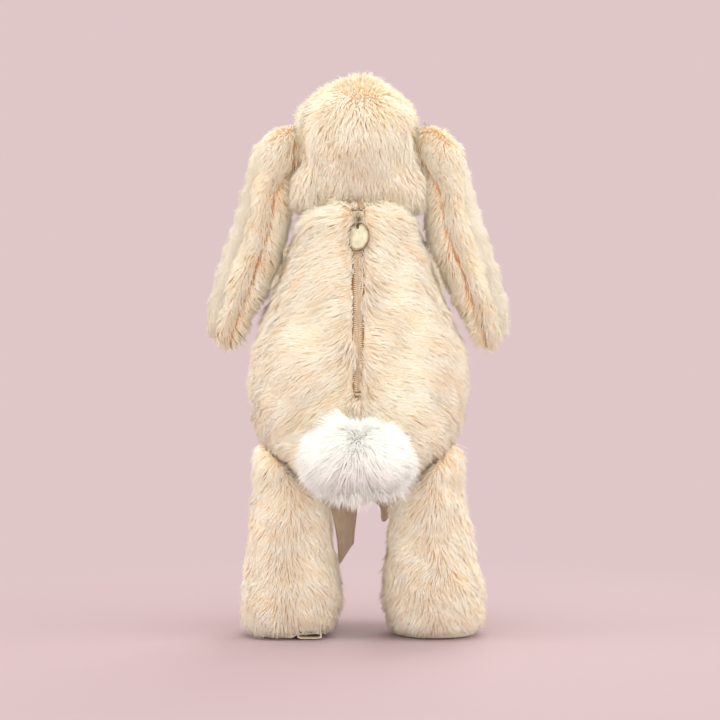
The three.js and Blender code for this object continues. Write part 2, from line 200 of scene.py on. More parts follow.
def grid_faces(rows, columns):
    """Quads between successive rings of points; each ring closes on itself."""
    ring = np.arange(columns)
    row = np.arange(rows - 1)[:, None] * columns
    a, b = row + ring, row + (ring + 1) % columns
    return np.stack([a, b, b + columns, a + columns], axis=-1).reshape(-1, 4)


def loft(name, rings, materials=()):
    """A closed form through rings of points (rows x columns x 3), its two ends shut by a fan."""
    rows, columns, _ = rings.shape
    ends = np.stack([rings[0].mean(0), rings[-1].mean(0)])
    points = np.vstack([rings.reshape(-1, 3), ends])
    ring = np.arange(columns)
    after = (ring + 1) % columns
    bottom, top, last = rows * columns, rows * columns + 1, (rows - 1) * columns
    quads = grid_faces(rows, columns)
    sides = np.vstack([quads[:, [0, 1, 2]], quads[:, [0, 2, 3]]])
    low = np.stack([np.full(columns, bottom), after, ring], axis=-1)
    high = np.stack([np.full(columns, top), last + ring, last + after], axis=-1)
    return mesh_object(name, points, np.vstack([sides, low, high]), materials)


def tube_points(path, radius, sides):
    """Rings round a path (n x 3) that don't twist along it; radius is a number or n numbers."""
    path = np.asarray(path, float)
    along = unit(np.gradient(path, axis=0))
    radius = np.broadcast_to(radius, len(path))
    start = np.cross(along[0], (0.0, 0.0, 1.0) if abs(along[0][2]) < 0.9 else (1.0, 0.0, 0.0))
    normal = unit(start)
    turn = turns(sides)
    rings = []
    for place, direction, r in zip(path, along, radius):
        normal = unit(normal - direction * (normal @ direction))
        other = np.cross(direction, normal)
        rings.append(place + r * (np.outer(np.cos(turn), normal) + np.outer(np.sin(turn), other)))
    return np.array(rings)


def tube(name, path, radius, sides=8, materials=()):
    return loft(name, tube_points(path, radius, sides), materials)


def joined(name, objects):
    """One object made of several."""
    bpy.ops.object.select_all(action="DESELECT")
    for obj in objects:
        obj.select_set(True)
    bpy.context.view_layer.objects.active = objects[0]
    if len(objects) > 1:
        bpy.ops.object.join()
    objects[0].name = name
    return objects[0]


def spline(stops, count):
    """Points on a smooth centripetal curve through the stops (any number of columns)."""
    stops = np.asarray(stops, float)
    ends = [2 * stops[0] - stops[1], *stops, 2 * stops[-1] - stops[-2]]
    found = []
    for t in np.linspace(0, len(stops) - 1, count):
        k = min(int(t), len(stops) - 2)
        p0, p1, p2, p3 = ends[k : k + 4]
        u = t - k
        spans = ((p0, p1), (p1, p2), (p2, p3))
        before, here, after = (max(np.linalg.norm((b - a)[:3]), 1e-9) ** 0.5 for a, b in spans)
        m1 = here * ((p1 - p0) / before - (p2 - p0) / (before + here) + (p2 - p1) / here)
        m2 = here * ((p2 - p1) / here - (p3 - p1) / (here + after) + (p3 - p2) / after)
        a, b = 2 * p1 - 2 * p2 + m1 + m2, -3 * p1 + 3 * p2 - 2 * m1 - m2
        found.append(((a * u + b) * u + m1) * u + p1)
    return np.array(found)


# ---------- materials
class Nodes:
    """A Principled material and short ways to put procedural detail on it."""

    def __init__(self, name, **sockets):
        self.material = bpy.data.materials.new(name)
        self.material.use_nodes = True
        self.tree = self.material.node_tree
        self.surface = self.tree.nodes["Principled BSDF"]
        self.output = self.tree.nodes["Material Output"]
        for socket, value in sockets.items():
            self.surface.inputs[socket.replace("_", " ")].default_value = value

    def add(self, kind, **settings):
        node = self.tree.nodes.new(kind)
        for setting, value in settings.items():
            setattr(node, setting, value)
        return node

    def link(self, a, b):
        self.tree.links.new(a, b)

    def place(self, source="Object"):
        if source == "UV":
            return self.add("ShaderNodeUVMap", uv_map="weave").outputs["UV"]
        return self.add("ShaderNodeTexCoord").outputs[source]

    def texture(self, node, place, **values):
        for socket, value in values.items():
            node.inputs[socket].default_value = value
        self.link(place or self.place(), node.inputs["Vector"])
        return node.outputs["Fac"]

    def noise(self, scale, detail=4.0, place=None, distortion=0.0):
        node = self.add("ShaderNodeTexNoise")
        return self.texture(node, place, Scale=scale, Detail=detail, Distortion=distortion)

    def wave(self, scale, direction, place=None, distortion=0.0):
        node = self.add("ShaderNodeTexWave", bands_direction=direction)
        return self.texture(node, place, Scale=scale, Distortion=distortion)

    def math(self, operation, a, b):
        node = self.add("ShaderNodeMath", operation=operation)
        for socket, value in zip(node.inputs, (a, b)):
            if isinstance(value, (int, float)):
                socket.default_value = value
            else:
                self.link(value, socket)
        return node.outputs["Value"]

    def mix(self, a, b, share):
        """The sum of a share of a and the rest of b."""
        part = self.math("MULTIPLY", a, share)
        return self.math("ADD", part, self.math("MULTIPLY", b, 1 - share))

    def ramp(self, value, stops, scale=None):
        """Colours at places from 0 to 1; scale maps a wider range of values onto them."""
        if scale:
            spread = self.add("ShaderNodeMapRange")
            spread.inputs["From Min"].default_value, spread.inputs["From Max"].default_value = scale
            self.link(value, spread.inputs["Value"])
            value = spread.outputs["Result"]
        node = self.add("ShaderNodeValToRGB")
        elements = node.color_ramp.elements
        while len(elements) < len(stops):
            elements.new(0.5)
        for element, (place, colour) in zip(elements, stops):
            element.position, element.color = place, (*colour, 1)
        self.link(value, node.inputs["Fac"])
        return node.outputs["Color"]

    def colour(self, value, *stops):
        self.link(self.ramp(value, stops), self.surface.inputs["Base Color"])

    def roughness(self, value, low, high):
        node = self.add("ShaderNodeMapRange")
        node.inputs["To Min"].default_value, node.inputs["To Max"].default_value = low, high
        self.link(value, node.inputs["Value"])
        self.link(node.outputs["Result"], self.surface.inputs["Roughness"])

    def bump(self, height, strength, distance):
        node = self.add("ShaderNodeBump")
        node.inputs["Strength"].default_value = strength
        node.inputs["Distance"].default_value = distance
        self.link(height, node.inputs["Height"])
        self.link(node.outputs["Normal"], self.surface.inputs["Normal"])


def fur_tones(name, shades):
    """Plain matt hair colours: first the shades of the roots, deeper and warmer as painted shade of the
    pile's depth, then the shades of the tips.
    """
    made = []
    for number, shade in enumerate(shades):
        tip = number >= ROOT_SHADES
        end = f"tip_{number - ROOT_SHADES}" if tip else f"root_{number}"
        nodes = Nodes(f"{name}_{end}", Base_Color=(*shade, 1), Roughness=0.8, Specular_IOR_Level=0.08)
        made.append(nodes.material)
    return made


def backing_cloth(name, deep, pale, size=900):
    """The knitted ground of a pile cloth: a fine knit with soft patches of colour."""
    nodes = Nodes(name, Sheen_Weight=0.3, Sheen_Roughness=0.6)
    patches = nodes.noise(60)
    nodes.colour(patches, (0.3, deep), (0.7, pale))
    knit = nodes.math("MULTIPLY", nodes.wave(size, "X"), nodes.wave(size, "Z"))
    nodes.bump(nodes.math("ADD", knit, nodes.noise(400)), 0.5, 0.0006)
    nodes.roughness(patches, 0.85, 1.0)
    return nodes.material


def twill_cloth(name, dark, mid, pale, pitch=0.0011, source="UV"):
    """Cotton twill: fine diagonal ribs over threads, read from the band's own coordinates."""
    nodes = Nodes(name, Sheen_Weight=0.2, Sheen_Roughness=0.5)
    place = nodes.place(source)
    ribs = nodes.wave(0.31 / pitch, "DIAGONAL", place)
    threads = nodes.wave(0.8 / pitch, "Y", place)
    tone = nodes.mix(ribs, nodes.noise(140), 0.45)
    nodes.colour(tone, (0.2, dark), (0.5, mid), (0.8, pale))
    nodes.bump(nodes.math("ADD", ribs, nodes.math("MULTIPLY", threads, 0.5)), 0.55, 0.0004)
    nodes.roughness(ribs, 0.75, 0.95)
    return nodes.material


def worn_metal(name, dark, pale, low=0.2, high=0.42):
    """Cast and plated metal with faint cloudy wear."""
    nodes = Nodes(name, Metallic=1.0)
    cloud = nodes.noise(220, detail=6)
    nodes.colour(cloud, (0.3, dark), (0.7, pale))
    nodes.roughness(nodes.noise(900), low, high)
    nodes.bump(nodes.noise(1600), 0.12, 0.0002)
    return nodes.material


def moulded(name, dark, pale, low, high, scale=300, bump=0.1):
    """Moulded plastic or bead with a slightly uneven skin."""
    nodes = Nodes(name)
    cloud = nodes.noise(scale)
    nodes.colour(cloud, (0.3, dark), (0.7, pale))
    nodes.roughness(nodes.noise(scale * 2), low, high)
    nodes.bump(nodes.noise(scale * 4), bump, 0.0002)
    return nodes.material


def fibre_fill(name, dark, pale):
    """Loose fibre filling: soft curls with deep folds, painted darker down in the folds as painted
    shade.
    """
    nodes = Nodes(name, Roughness=0.95)
    curls = nodes.noise(160, detail=8, distortion=1.5)
    nodes.colour(curls, (0.3, dark), (0.65, pale))
    nodes.bump(curls, 0.8, 0.003)
    return nodes.material


def satin_thread(name, dark, pale):
    """Twisted embroidery thread."""
    nodes = Nodes(name, Sheen_Weight=0.3)
    twist = nodes.wave(700, "DIAGONAL", distortion=0.6)
    nodes.colour(nodes.mix(twist, nodes.noise(300), 0.5), (0.25, dark), (0.75, pale))
    nodes.bump(twist, 0.4, 0.0002)
    nodes.roughness(twist, 0.35, 0.6)
    return nodes.material


# Each pile's shades: three of the roots, whose deeper, warmer tones are painted shade of the pile's
# depth, then four of the tips.
# The body's pile lies nearly level and catches more light, so its hair is painted a shade deeper than
# the rest to offset that light.
PILE_SHADES = {
    "cream": ((0.94, 0.77, 0.52), (0.95, 0.82, 0.60), (0.955, 0.87, 0.68),
              (0.955, 0.89, 0.71), (0.96, 0.915, 0.75), (0.95, 0.83, 0.61), (0.97, 0.94, 0.81)),
    "body": ((0.865, 0.70, 0.475), (0.875, 0.745, 0.545), (0.88, 0.79, 0.62),
             (0.88, 0.81, 0.645), (0.885, 0.835, 0.685), (0.875, 0.755, 0.555), (0.89, 0.855, 0.735)),
    "ear": ((0.92, 0.70, 0.43), (0.93, 0.78, 0.54), (0.94, 0.84, 0.63),
            (0.93, 0.875, 0.68), (0.94, 0.895, 0.72), (0.92, 0.82, 0.60), (0.955, 0.92, 0.78)),
    "tail": ((0.94, 0.95, 0.86), (0.95, 0.965, 0.89), (0.96, 0.975, 0.92),
             (0.965, 0.98, 0.915), (0.97, 0.985, 0.935), (0.955, 0.965, 0.88), (0.98, 0.99, 0.95)),
    "short": ((0.80, 0.71, 0.53), (0.83, 0.75, 0.58), (0.85, 0.78, 0.62),
              (0.87, 0.83, 0.69), (0.89, 0.85, 0.72), (0.85, 0.80, 0.65), (0.91, 0.875, 0.75)),
}
ROOT_SHADES = 3


def make_materials():
    return {
        **{kind: fur_tones(f"{kind}_pile", shades) for kind, shades in PILE_SHADES.items()},
        # The cream and ear grounds are the real knitted backing in a deep peach to orange: painted
        # shade of the partings and the gaps between locks.
        "ground": backing_cloth("cream_ground_painted_shade", (0.86, 0.56, 0.33), (0.93, 0.70, 0.48)),
        "ear_ground_painted_shade": backing_cloth("ear_ground_painted_shade", (0.70, 0.36, 0.16), (0.85, 0.55, 0.31)),
        "short_ground": backing_cloth("short_ground", (0.80, 0.71, 0.54), (0.88, 0.80, 0.65)),
        "tail_ground": backing_cloth("tail_ground", (0.92, 0.92, 0.84), (0.96, 0.96, 0.90)),
        "twill": twill_cloth("strap_twill", (0.42, 0.32, 0.19), (0.60, 0.48, 0.32), (0.74, 0.62, 0.45)),
        "tape": twill_cloth("zip_tape", (0.20, 0.10, 0.045), (0.32, 0.17, 0.085), (0.42, 0.25, 0.14),
                            0.0007, "Object"),
        "hem": twill_cloth("hem_cloth", (0.62, 0.52, 0.37), (0.78, 0.69, 0.53), (0.86, 0.79, 0.65),
                           0.0009, "Object"),
        # Near-black twill that fills the hem loop's opening: painted shade.
        "hem_painted_shade": twill_cloth("hem_painted_shade", (0.05, 0.025, 0.012), (0.10, 0.05, 0.025),
                                 (0.16, 0.09, 0.05)),
        "nylon": moulded("zip_nylon", (0.70, 0.55, 0.36), (0.88, 0.75, 0.54), 0.28, 0.45),
        "metal": worn_metal("champagne_metal", (0.33, 0.30, 0.21), (0.46, 0.43, 0.31), 0.4, 0.6),
        "slider": worn_metal("slider_metal", (0.28, 0.23, 0.15), (0.48, 0.41, 0.28), 0.3, 0.5),
        "rim": worn_metal("rim_metal", (0.17, 0.13, 0.08), (0.33, 0.27, 0.17), 0.3, 0.5),
        "bead": moulded("eye_bead", (0.006, 0.004, 0.003), (0.018, 0.011, 0.008), 0.05, 0.12,
                        bump=0.03),
        "thread": satin_thread("nose_thread", (0.50, 0.21, 0.19), (0.72, 0.37, 0.33)),
        "stitch": satin_thread("seam_thread", (0.50, 0.34, 0.20), (0.72, 0.55, 0.37)),
        "fill": fibre_fill("fibre_filling", (0.62, 0.61, 0.58), (0.86, 0.86, 0.84)),
        "lining": backing_cloth("pocket_cloth", (0.62, 0.54, 0.42), (0.74, 0.67, 0.55), size=1400),
        "pellets": moulded("pellets", (0.55, 0.55, 0.50), (0.72, 0.72, 0.67), 0.4, 0.6, 600, 0.9),
        "washer": moulded("washer", (0.70, 0.68, 0.63), (0.80, 0.78, 0.73), 0.4, 0.55),
    }


# ---------- soft forms read off the frame
def tree_of(*objects):
    """One search tree over the surfaces of some objects."""
    points, faces = [], []
    for mesh in (obj.data for obj in objects):
        start = len(points)
        points += [v.co.copy() for v in mesh.vertices]
        faces += [tuple(start + i for i in p.vertices) for p in mesh.polygons]
    return BVHTree.FromPolygons(points, faces)


def box_of(*names):
    """The lower and the upper corner of the box round some frame nodes."""
    corners = np.array([[tuple(c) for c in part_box(name)] for name in names])
    return corners[:, 0].min(0), corners[:, 1].max(0)


OUTSIDE = 0.4  # how far from a form's middle the rays that read it start


def slice_middles(tree, low, high, levels):
    """The middle of the part's slice at each level, looking in along X and then along Y."""
    middles = np.zeros((len(levels), 2))
    half = len(levels) // 2
    for order in (range(half, len(levels)), range(half, -1, -1)):
        x, y = (low[0] + high[0]) / 2, (low[1] + high[1]) / 2
        for k in order:
            z = levels[k]
            for _ in range(2):
                hits = [tree.ray_cast((s * OUTSIDE, y, z), (-s, 0, 0))[0] for s in (-1, 1)]
                if None not in hits:
                    x = (hits[0].x + hits[1].x) / 2
                hits = [tree.ray_cast((x, s * OUTSIDE, z), (0, -s, 0))[0] for s in (-1, 1)]
                if None not in hits:
                    y = (hits[0].y + hits[1].y) / 2
            middles[k] = x, y
    return middles


def read_form(names, rows=44, columns=48, shrink=0.0, smooth=1, bridge=False):
    """Rings of points (rows x columns x 3) on the outside of a part, from its lowest point up.

    Facets are smoothed, shrink draws the surface in all round, and bridge closes narrow slots.
    """
    tree = tree_of(*(frame["nodes"][name] for name in names))
    low, high = box_of(*names)
    share = (1 - np.cos(math.pi * (np.arange(rows) + 0.5) / rows)) / 2
    levels = low[2] + (high[2] - low[2]) * share
    middles = slice_middles(tree, low, high, levels)
    turn = turns(columns, 0.5)
    radius = np.full((rows, columns), np.nan)
    for k, z in enumerate(levels):
        for i, (c, s) in enumerate(zip(np.cos(turn), np.sin(turn))):
            start = Vector((middles[k][0] + OUTSIDE * c, middles[k][1] + OUTSIDE * s, z))
            hit = tree.ray_cast(start, Vector((-c, -s, 0)), OUTSIDE)[0]
            if hit is not None:
                radius[k, i] = OUTSIDE - (hit - start).length
        nearest = np.nanmin(radius[k]) if np.isfinite(radius[k]).any() else MM
        radius[k] = np.nan_to_num(radius[k], nan=nearest)
    if bridge:
        near = np.stack([np.roll(radius, s, axis=1) for s in range(-3, 4)])
        radius = np.median(near, axis=0)
    for _ in range(smooth):
        sides = (np.roll(radius, 1, axis=1) + np.roll(radius, -1, axis=1)) / 2
        radius = (radius + sides) / 2
        inner = radius[1:-1] / 2 + (radius[:-2] + radius[2:]) / 4
        radius = np.vstack([radius[:1], inner, radius[-1:]])
        middles[1:-1] = middles[1:-1] / 2 + (middles[:-2] + middles[2:]) / 4
    radius = np.maximum(radius - shrink, 0.5 * MM)
    height = (levels - levels.mean()) * (1 - 2 * shrink / (high[2] - low[2])) + levels.mean()
    rings = np.empty((rows, columns, 3))
    rings[..., 0] = middles[:, :1] + radius * np.cos(turn)
    rings[..., 1] = middles[:, 1:] + radius * np.sin(turn)
    rings[..., 2] = height[:, None]
    return rings


def bake_modifiers(obj):
    """Leaves the object with the mesh that its modifiers make, and no modifiers."""
    shown = obj.evaluated_get(bpy.context.evaluated_depsgraph_get())
    old, mesh = obj.data, bpy.data.meshes.new_from_object(shown)
    obj.modifiers.clear()
    obj.data = mesh
    bpy.data.meshes.remove(old)
    mesh.polygons.foreach_set("use_smooth", np.ones(len(mesh.polygons), bool))


SIM_FRAMES, SIM_PRESSURE = 20, 4.0
VOXEL = 4.5 * MM


def stuff(pieces, cap=3.5 * MM):
    """Fills all the forms like stuffed cloth bags at once: an even mesh, inner pressure, no gravity.

    cap is how far a point may move. Each form ends with one subdivision.
    """
    for obj in pieces:
        remesh = obj.modifiers.new("even", "REMESH")
        remesh.mode, remesh.voxel_size = "VOXEL", VOXEL
        bake_modifiers(obj)
    before = [points_of(obj) for obj in pieces]
    for obj in pieces:
        settings = obj.modifiers.new("filling", "CLOTH").settings
        settings.quality = 4
        settings.mass = 0.3
        settings.use_pressure = True
        settings.uniform_pressure_force = SIM_PRESSURE
        settings.effector_weights.gravity = 0
    for number in range(1, SIM_FRAMES + 1):
        bpy.context.scene.frame_set(number)
    graph = bpy.context.evaluated_depsgraph_get()
    after = [points_of(obj.evaluated_get(graph)) for obj in pieces]
    for obj, old, new in zip(pieces, before, after):
        obj.modifiers.clear()
        move = new - old
        far = np.linalg.norm(move, axis=1, keepdims=True)
        set_points(obj, old + move * np.minimum(1, cap / np.maximum(far, 1e-9)))
    bpy.context.scene.frame_set(1)
    for obj in pieces:
        obj.modifiers.new("finer", "SUBSURF").levels = 1
        bake_modifiers(obj)


# ---------- pile
def waves(seed, count=6, shortest=14 * MM, longest=50 * MM):
    """A smooth random field over space, about -1 to 1, as a function of points."""
    rng = np.random.default_rng(seed)
    length = rng.uniform(shortest, longest, count)
    knots = unit(rng.normal(size=(count, 3))) * (2 * math.pi / length)[:, None]
    phases = rng.uniform(0, 2 * math.pi, count)
    return lambda points: np.sin(points @ knots.T + phases).sum(1) * math.sqrt(2 / count) / 1.4


def scatter(obj, count, rng):
    """Random points spread evenly over a piece's surface, with its smooth normals there."""
    mesh = obj.data
    mesh.calc_loop_triangles()
    triangles = read_rows(mesh.loop_triangles, "vertices", 3, np.int32)
    normals = read_rows(mesh.vertex_normals, "vector", 3).astype(float)
    corners = points_of(obj)[triangles]
    edges = corners[:, 1:] - corners[:, :1]
    total = np.linalg.norm(np.cross(edges[:, 0], edges[:, 1]), axis=1).cumsum()
    pick = np.searchsorted(total, (np.arange(count) + rng.uniform(size=count)) / count * total[-1])
    pick = np.minimum(pick, len(triangles) - 1)
    u, v = rng.uniform(size=(2, count))
    flip = u + v > 1
    u, v = np.where(flip, 1 - u, u), np.where(flip, 1 - v, v)
    share = np.stack([1 - u - v, u, v], axis=-1)[..., None]
    return (corners[pick] * share).sum(1), unit((normals[triangles[pick]] * share).sum(1))


def clear_of(points, normals, trees, reach):
    """Which points look outwards into free space, not into a neighbouring form."""
    free = np.ones(len(points), bool)
    for tree in trees:
        for k, (p, n) in enumerate(zip(points, normals)):
            if free[k] and tree.ray_cast(Vector(p + n * 0.2 * MM), Vector(n), reach)[0] is not None:
                free[k] = False
    return free


def lock_tips(tips, roots, pull, every, rng):
    """Draws neighbouring tips together into locks; every is how many hairs share one."""
    leaders = rng.choice(len(roots), max(1, len(roots) // every), replace=False)
    tree = KDTree(len(leaders))
    for k, leader in enumerate(leaders):
        tree.insert(roots[leader], k)
    tree.balance()
    nearest = leaders[[tree.find(p)[1] for p in roots]]
    amount = pull * rng.uniform(0.4, 1.0, (len(roots), 1))
    return tips + (tips[nearest] - tips) * amount


PIECE_FACES = 195000  # keeps every piece under 200 000 triangles
TIP_TONES = np.array([5, 3, 4, 6])  # the tips' places among a pile's materials, from dark to pale


def lock_faces(bends):
    """The triangles of one lock: which are near its root (0) or tip (1), and which face its skin."""
    faces, zones, under = [(0, 2, 1)], [0], [False]
    for level in range(bends - 1):
        b = level * 3
        for i in range(3):
            j = (i + 1) % 3
            faces += [(b + i, b + j, b + 3 + j), (b + i, b + 3 + j, b + 3 + i)]
            zones += [0 if level == 0 else 1] * 2
            under += [i == 0] * 2
    b = (bends - 1) * 3
    for i in range(3):
        faces.append((b + i, b + (i + 1) % 3, b + 3))
        zones.append(1)
        under.append(i == 0)
    return np.array(faces), np.array(zones), np.array(under)


def pile(name, skin, flow, tones, density, length, width, lift, seed, keep=None, avoid=(),
         lock=0.5, every=9, bends=2, mess=0.28, shorter=None):
    """Covers a skin with tapered locks, each a closed three-sided spike with a few bends.

    flow gives the direction in which the pile lies at each root, density is locks per square mm,
    lift how far the tips stand off for their length, keep which roots are wanted, avoid the forms
    whose space stays free, lock and every how tips gather, and mess how far locks stray.
    """
    rng = np.random.default_rng(seed)
    count = int(sum(face.area for face in skin.data.polygons) / MM**2 * density)
    points, normals = scatter(skin, count, rng)
    if keep is not None:
        wanted = keep(points, normals)
        points, normals = points[wanted], normals[wanted]
    free = clear_of(points, normals, avoid, 3 * MM)
    points, normals = points[free], normals[free]
    count = len(points)

    direction = flow(points, normals)
    direction = direction - normals * (direction * normals).sum(1, keepdims=True)
    strength = np.minimum(np.linalg.norm(direction, axis=1, keepdims=True), 1)
    direction = unit(direction)
    side = np.cross(normals, direction)
    sway = waves(seed + 11)(points) * mess * 1.3 + rng.normal(size=count) * mess * 0.55
    direction = direction * np.cos(sway)[:, None] + side * np.sin(sway)[:, None]
    side = np.cross(normals, direction)
    reach = length * rng.uniform(0.78, 1.15, count) * (1 + 0.12 * waves(seed + 12)(points))
    if shorter is not None:
        reach = reach * shorter(points)
    reach = reach[:, None]
    stand = lift * (1 + 0.3 * waves(seed + 13, shortest=9 * MM, longest=24 * MM)(points)
                    + 0.2 * rng.normal(size=count))[:, None]
    stand = np.clip(stand, 0.1, 1.0)
    lie = np.sqrt(np.maximum(1 - stand**2, 0.05)) * strength
    tips = points + reach * (direction * lie + normals * stand)
    tips = lock_tips(tips, points, lock, every, rng)

    start = points - normals * 0.7 * MM
    knee = points + (normals * 0.62 * stand + direction * 0.34 * lie) * reach
    curl = side * (rng.normal(size=(count, 1)) * 0.07) * reach
    rings, shares = [], np.arange(bends) / bends
    for u in shares:
        rings.append(start * (1 - u) ** 2 + (knee + curl) * 2 * u * (1 - u) + tips * u**2)
    girth = width * rng.uniform(0.75, 1.25, (count, 1))
    ridge = unit(normals + direction * 0.2)
    sections = []
    for ring, share in zip(rings, shares):
        w = girth * (1 - 0.55 * share)
        corners = [ring - side * w / 2, ring + side * w / 2, ring + ridge * w * 0.55]
        sections.append(np.stack(corners, axis=1))
    sections.append(tips[:, None, :])
    body = np.concatenate(sections, axis=1)

    # Custom normals: the upper faces shade as one rounded lock, and the under faces as its shadow side.
    soft = unit(normals + direction * 0.3)
    round_it = [unit(soft - side * 0.8), unit(soft + side * 0.8), soft]
    facing = np.stack(round_it * bends + [unit(soft + direction * 0.5)], axis=1)
    below = unit(direction - normals * 0.35)

    faces, zones, under = lock_faces(bends)
    patches = waves(seed + 14, shortest=10 * MM, longest=30 * MM)(points)
    shade = patches * 0.8 + rng.normal(size=count) * 0.75
    root_tone = np.digitize(shade, (-0.55, 0.55))
    kinds = np.digitize(shade + rng.normal(size=count) * 0.4, (-0.9, 0.1, 0.9))
    tip_tone = TIP_TONES[kinds]
    # Faces near the root take the deeper root shades: painted shade of the pile's depth.
    tone = np.where(zones[None] == 0, root_tone[:, None], tip_tone[:, None])
    made = []
    upwards = np.argsort(points[:, 2], kind="stable")
    parts = np.array_split(upwards, math.ceil(count * len(faces) / PIECE_FACES))
    for number, part in enumerate(parts, 1):
        corners = np.arange(len(part))[:, None, None] * body.shape[1] + faces[None]
        places = body[part].reshape(-1, 3)
        obj = mesh_object(f"{name}_{number}", places, corners.reshape(-1, 3), tones, tone[part].ravel())
        corner_normals = facing[part][:, faces]
        corner_normals[:, under] = below[part][:, None, None]
        obj.data.normals_split_custom_set(corner_normals.reshape(-1, 3))
        made.append(obj)
    return made


def down(spread_back=0.0, spread_front=0.0, middle=0.0, soft=12 * MM, lean=0.0, fall=1.0):
    """A flow that falls, and parts along a line: outwards where a spread is positive.

    middle is the parting's X, a number or a function of the heights. lean draws the flow backwards,
    except where the surface already faces back.
    """
    def flow(points, normals):
        x = points[:, 0] - (middle(points[:, 2]) if callable(middle) else middle)
        spread = np.where(normals[:, 1] > 0, spread_back, spread_front)
        spread = spread * smoothstep(abs(normals[:, 1]), 0.0, 0.5)
        direction = np.zeros_like(points)
        direction[:, 0] = np.tanh(x / soft) * spread
        direction[:, 1] = lean * (1 - smoothstep(normals[:, 1], -0.3, 0.5))
        direction[:, 2] = -fall
        return direction
    return flow


# ---------- forms and their pile
SKINS, TREES = {}, {}


def make_forms():
    """Reads every soft form off the frame and fills all of them in one simulation."""
    panels = ["belly_panel", "back_panel_left", "back_panel_right", "zip_tape_left", "zip_tape_right"]
    rings = {
        "torso_skin": read_form(panels, rows=64, columns=72, shrink=1.5 * MM, smooth=2, bridge=True),
        "head_skin": read_form(["head_plush"], rows=48, columns=64, shrink=1.2 * MM),
        "muzzle_skin": read_form(["muzzle"], rows=24, columns=32, shrink=0.6 * MM),
        "tail_skin": read_form(["tail_pompom"], rows=24, columns=32, shrink=TAIL_HAIR * 0.4),
    }
    for name, side in SIDES:
        rings[f"arm_{name}_skin"] = read_form([f"arm_{name}"], rows=36, columns=32, shrink=1.2 * MM)
        leg = [f"leg_{name}_plush", f"sole_{name}"]
        rings[f"leg_{name}_skin"] = read_form(leg, rows=56, columns=48, shrink=1.2 * MM)
        ear = read_form([f"ear_{name}_plush", f"ear_{name}_lining"], rows=56, columns=40)
        rings[f"ear_{name}_skin"] = inner_edge(folded_edge(ear, side), side)
        lining = [f"ear_{name}_lining"]
        rings[f"ear_{name}_flap"] = read_form(lining, rows=44, columns=36, shrink=0.6 * MM)
    round_out(rings["torso_skin"], rings["head_skin"])
    for name, side in SIDES:
        shape_leg(rings[f"leg_{name}_skin"])
        shape_arm(rings[f"arm_{name}_skin"], side)
        flap = rings[f"ear_{name}_flap"]
        flap[..., 0] += side * 2.8 * MM * (1 - smoothstep(flap[..., 2], 0.28, 0.32))
    seat_tail(rings["tail_skin"])
    for name, form in rings.items():
        SKINS[name] = loft(name, form)
    stuff(list(SKINS.values()))
    sink_zip_channel(SKINS["torso_skin"])
    for name, side in SIDES:
        crease_ear(SKINS[f"ear_{name}_skin"], rings[f"ear_{name}_skin"], side)
        flatten_sole(SKINS[f"leg_{name}_skin"])
    for name, obj in SKINS.items():
        TREES[name] = tree_of(obj)


# How much of the outer half of an ear its long pile covers, from the tip (0) to the root (1).
PILE_EDGE = ((0.0, 0.6), (0.18, 0.43), (0.28, 0.43), (0.45, 0.29), (0.62, 0.25), (0.735, 0.48),
             (0.83, 0.73), (0.9, 1.0))
# mm: height, and the head's half width between the ears.
HEAD_HALF = ((310, 48), (332, 45), (344, 38), (405, 37))
# mm: height, and how far out an ear's inner edge lies.
EAR_INNER = ((211, 92), (223, 84.5), (240, 75.5), (258, 65), (279, 57), (295, 52.5), (313, 50),
             (334, 48), (345, 41), (376, 41))


def swell(rings, amount, rise):
    """Widens each ring about its own middle by a share, and moves it up."""
    centre = rings.mean(1, keepdims=True)
    rings[..., :2] = (centre + (rings - centre) * (1 + amount[:, None, None]))[..., :2]
    rings[..., 2] += rise[:, None]


def round_out(torso, head):
    """Full shoulders and a full nape, which meet over the neck; the head is narrow between the ears."""
    z = torso[:, 0, 2]
    seat = smoothstep(z, 0.112, 0.135) * (1 - smoothstep(z, 0.19, 0.24))
    swell(torso, 0.28 * smoothstep(z, 0.284, 0.312) + 0.035 * seat, 5 * MM * smoothstep(z, 0.26, 0.31))
    z = head[:, 0, 2].copy()
    nape = 1 - smoothstep(z, 0.3125, 0.338)
    swell(head, 0.22 * nape, -4.5 * MM * nape - 1.5 * MM * smoothstep(z, 0.345, 0.404))
    half = abs(head[..., 0]).max(1)
    allowed = np.interp(head[:, 0, 2] / MM, *np.transpose(HEAD_HALF)) * MM
    head[..., 0] *= np.minimum(1, allowed / half)[:, None]


def inner_edge(rings, side):
    """Moves an ear's inner edge to its place, and lays its root back over the side of the head."""
    z = rings[:, 0, 2]
    centre = rings[..., 0].mean(1, keepdims=True)
    inwards = (centre - rings[..., 0]) * side
    wanted = centre * side - np.interp(z / MM, *np.transpose(EAR_INNER))[:, None] * MM
    moved = inwards * wanted / inwards.max(1, keepdims=True)
    rings[..., 0] = centre - np.where(inwards > 0, moved, inwards) * side
    rings[..., 1] += 4 * MM * smoothstep(z, 0.325, 0.355)[:, None]
    rings[..., 2] -= 3.5 * MM * smoothstep(rings[..., 2], 0.335, 0.37)
    return rings


def shape_leg(rings):
    """Broad at the foot, and drawn in at the hip."""
    z = rings[:, 0, 2]
    swell(rings, 0.03 * (1 - smoothstep(z, 0.02, 0.11)) - 0.1 * smoothstep(z, 0.09, 0.13), 0 * z)


def shape_arm(rings, side):
    """Full at the shoulder, which leans in and back to meet the body."""
    z = rings[:, 0, 2].copy()
    swell(rings, 0.3 * smoothstep(z, 0.25, 0.29), 16 * MM * smoothstep(z, 0.24, 0.29))
    rings[..., 1] += 9 * MM * smoothstep(z, 0.235, 0.285)[:, None]
    rings[..., 0] -= side * 3 * MM * smoothstep(z, 0.235, 0.285)[:, None]


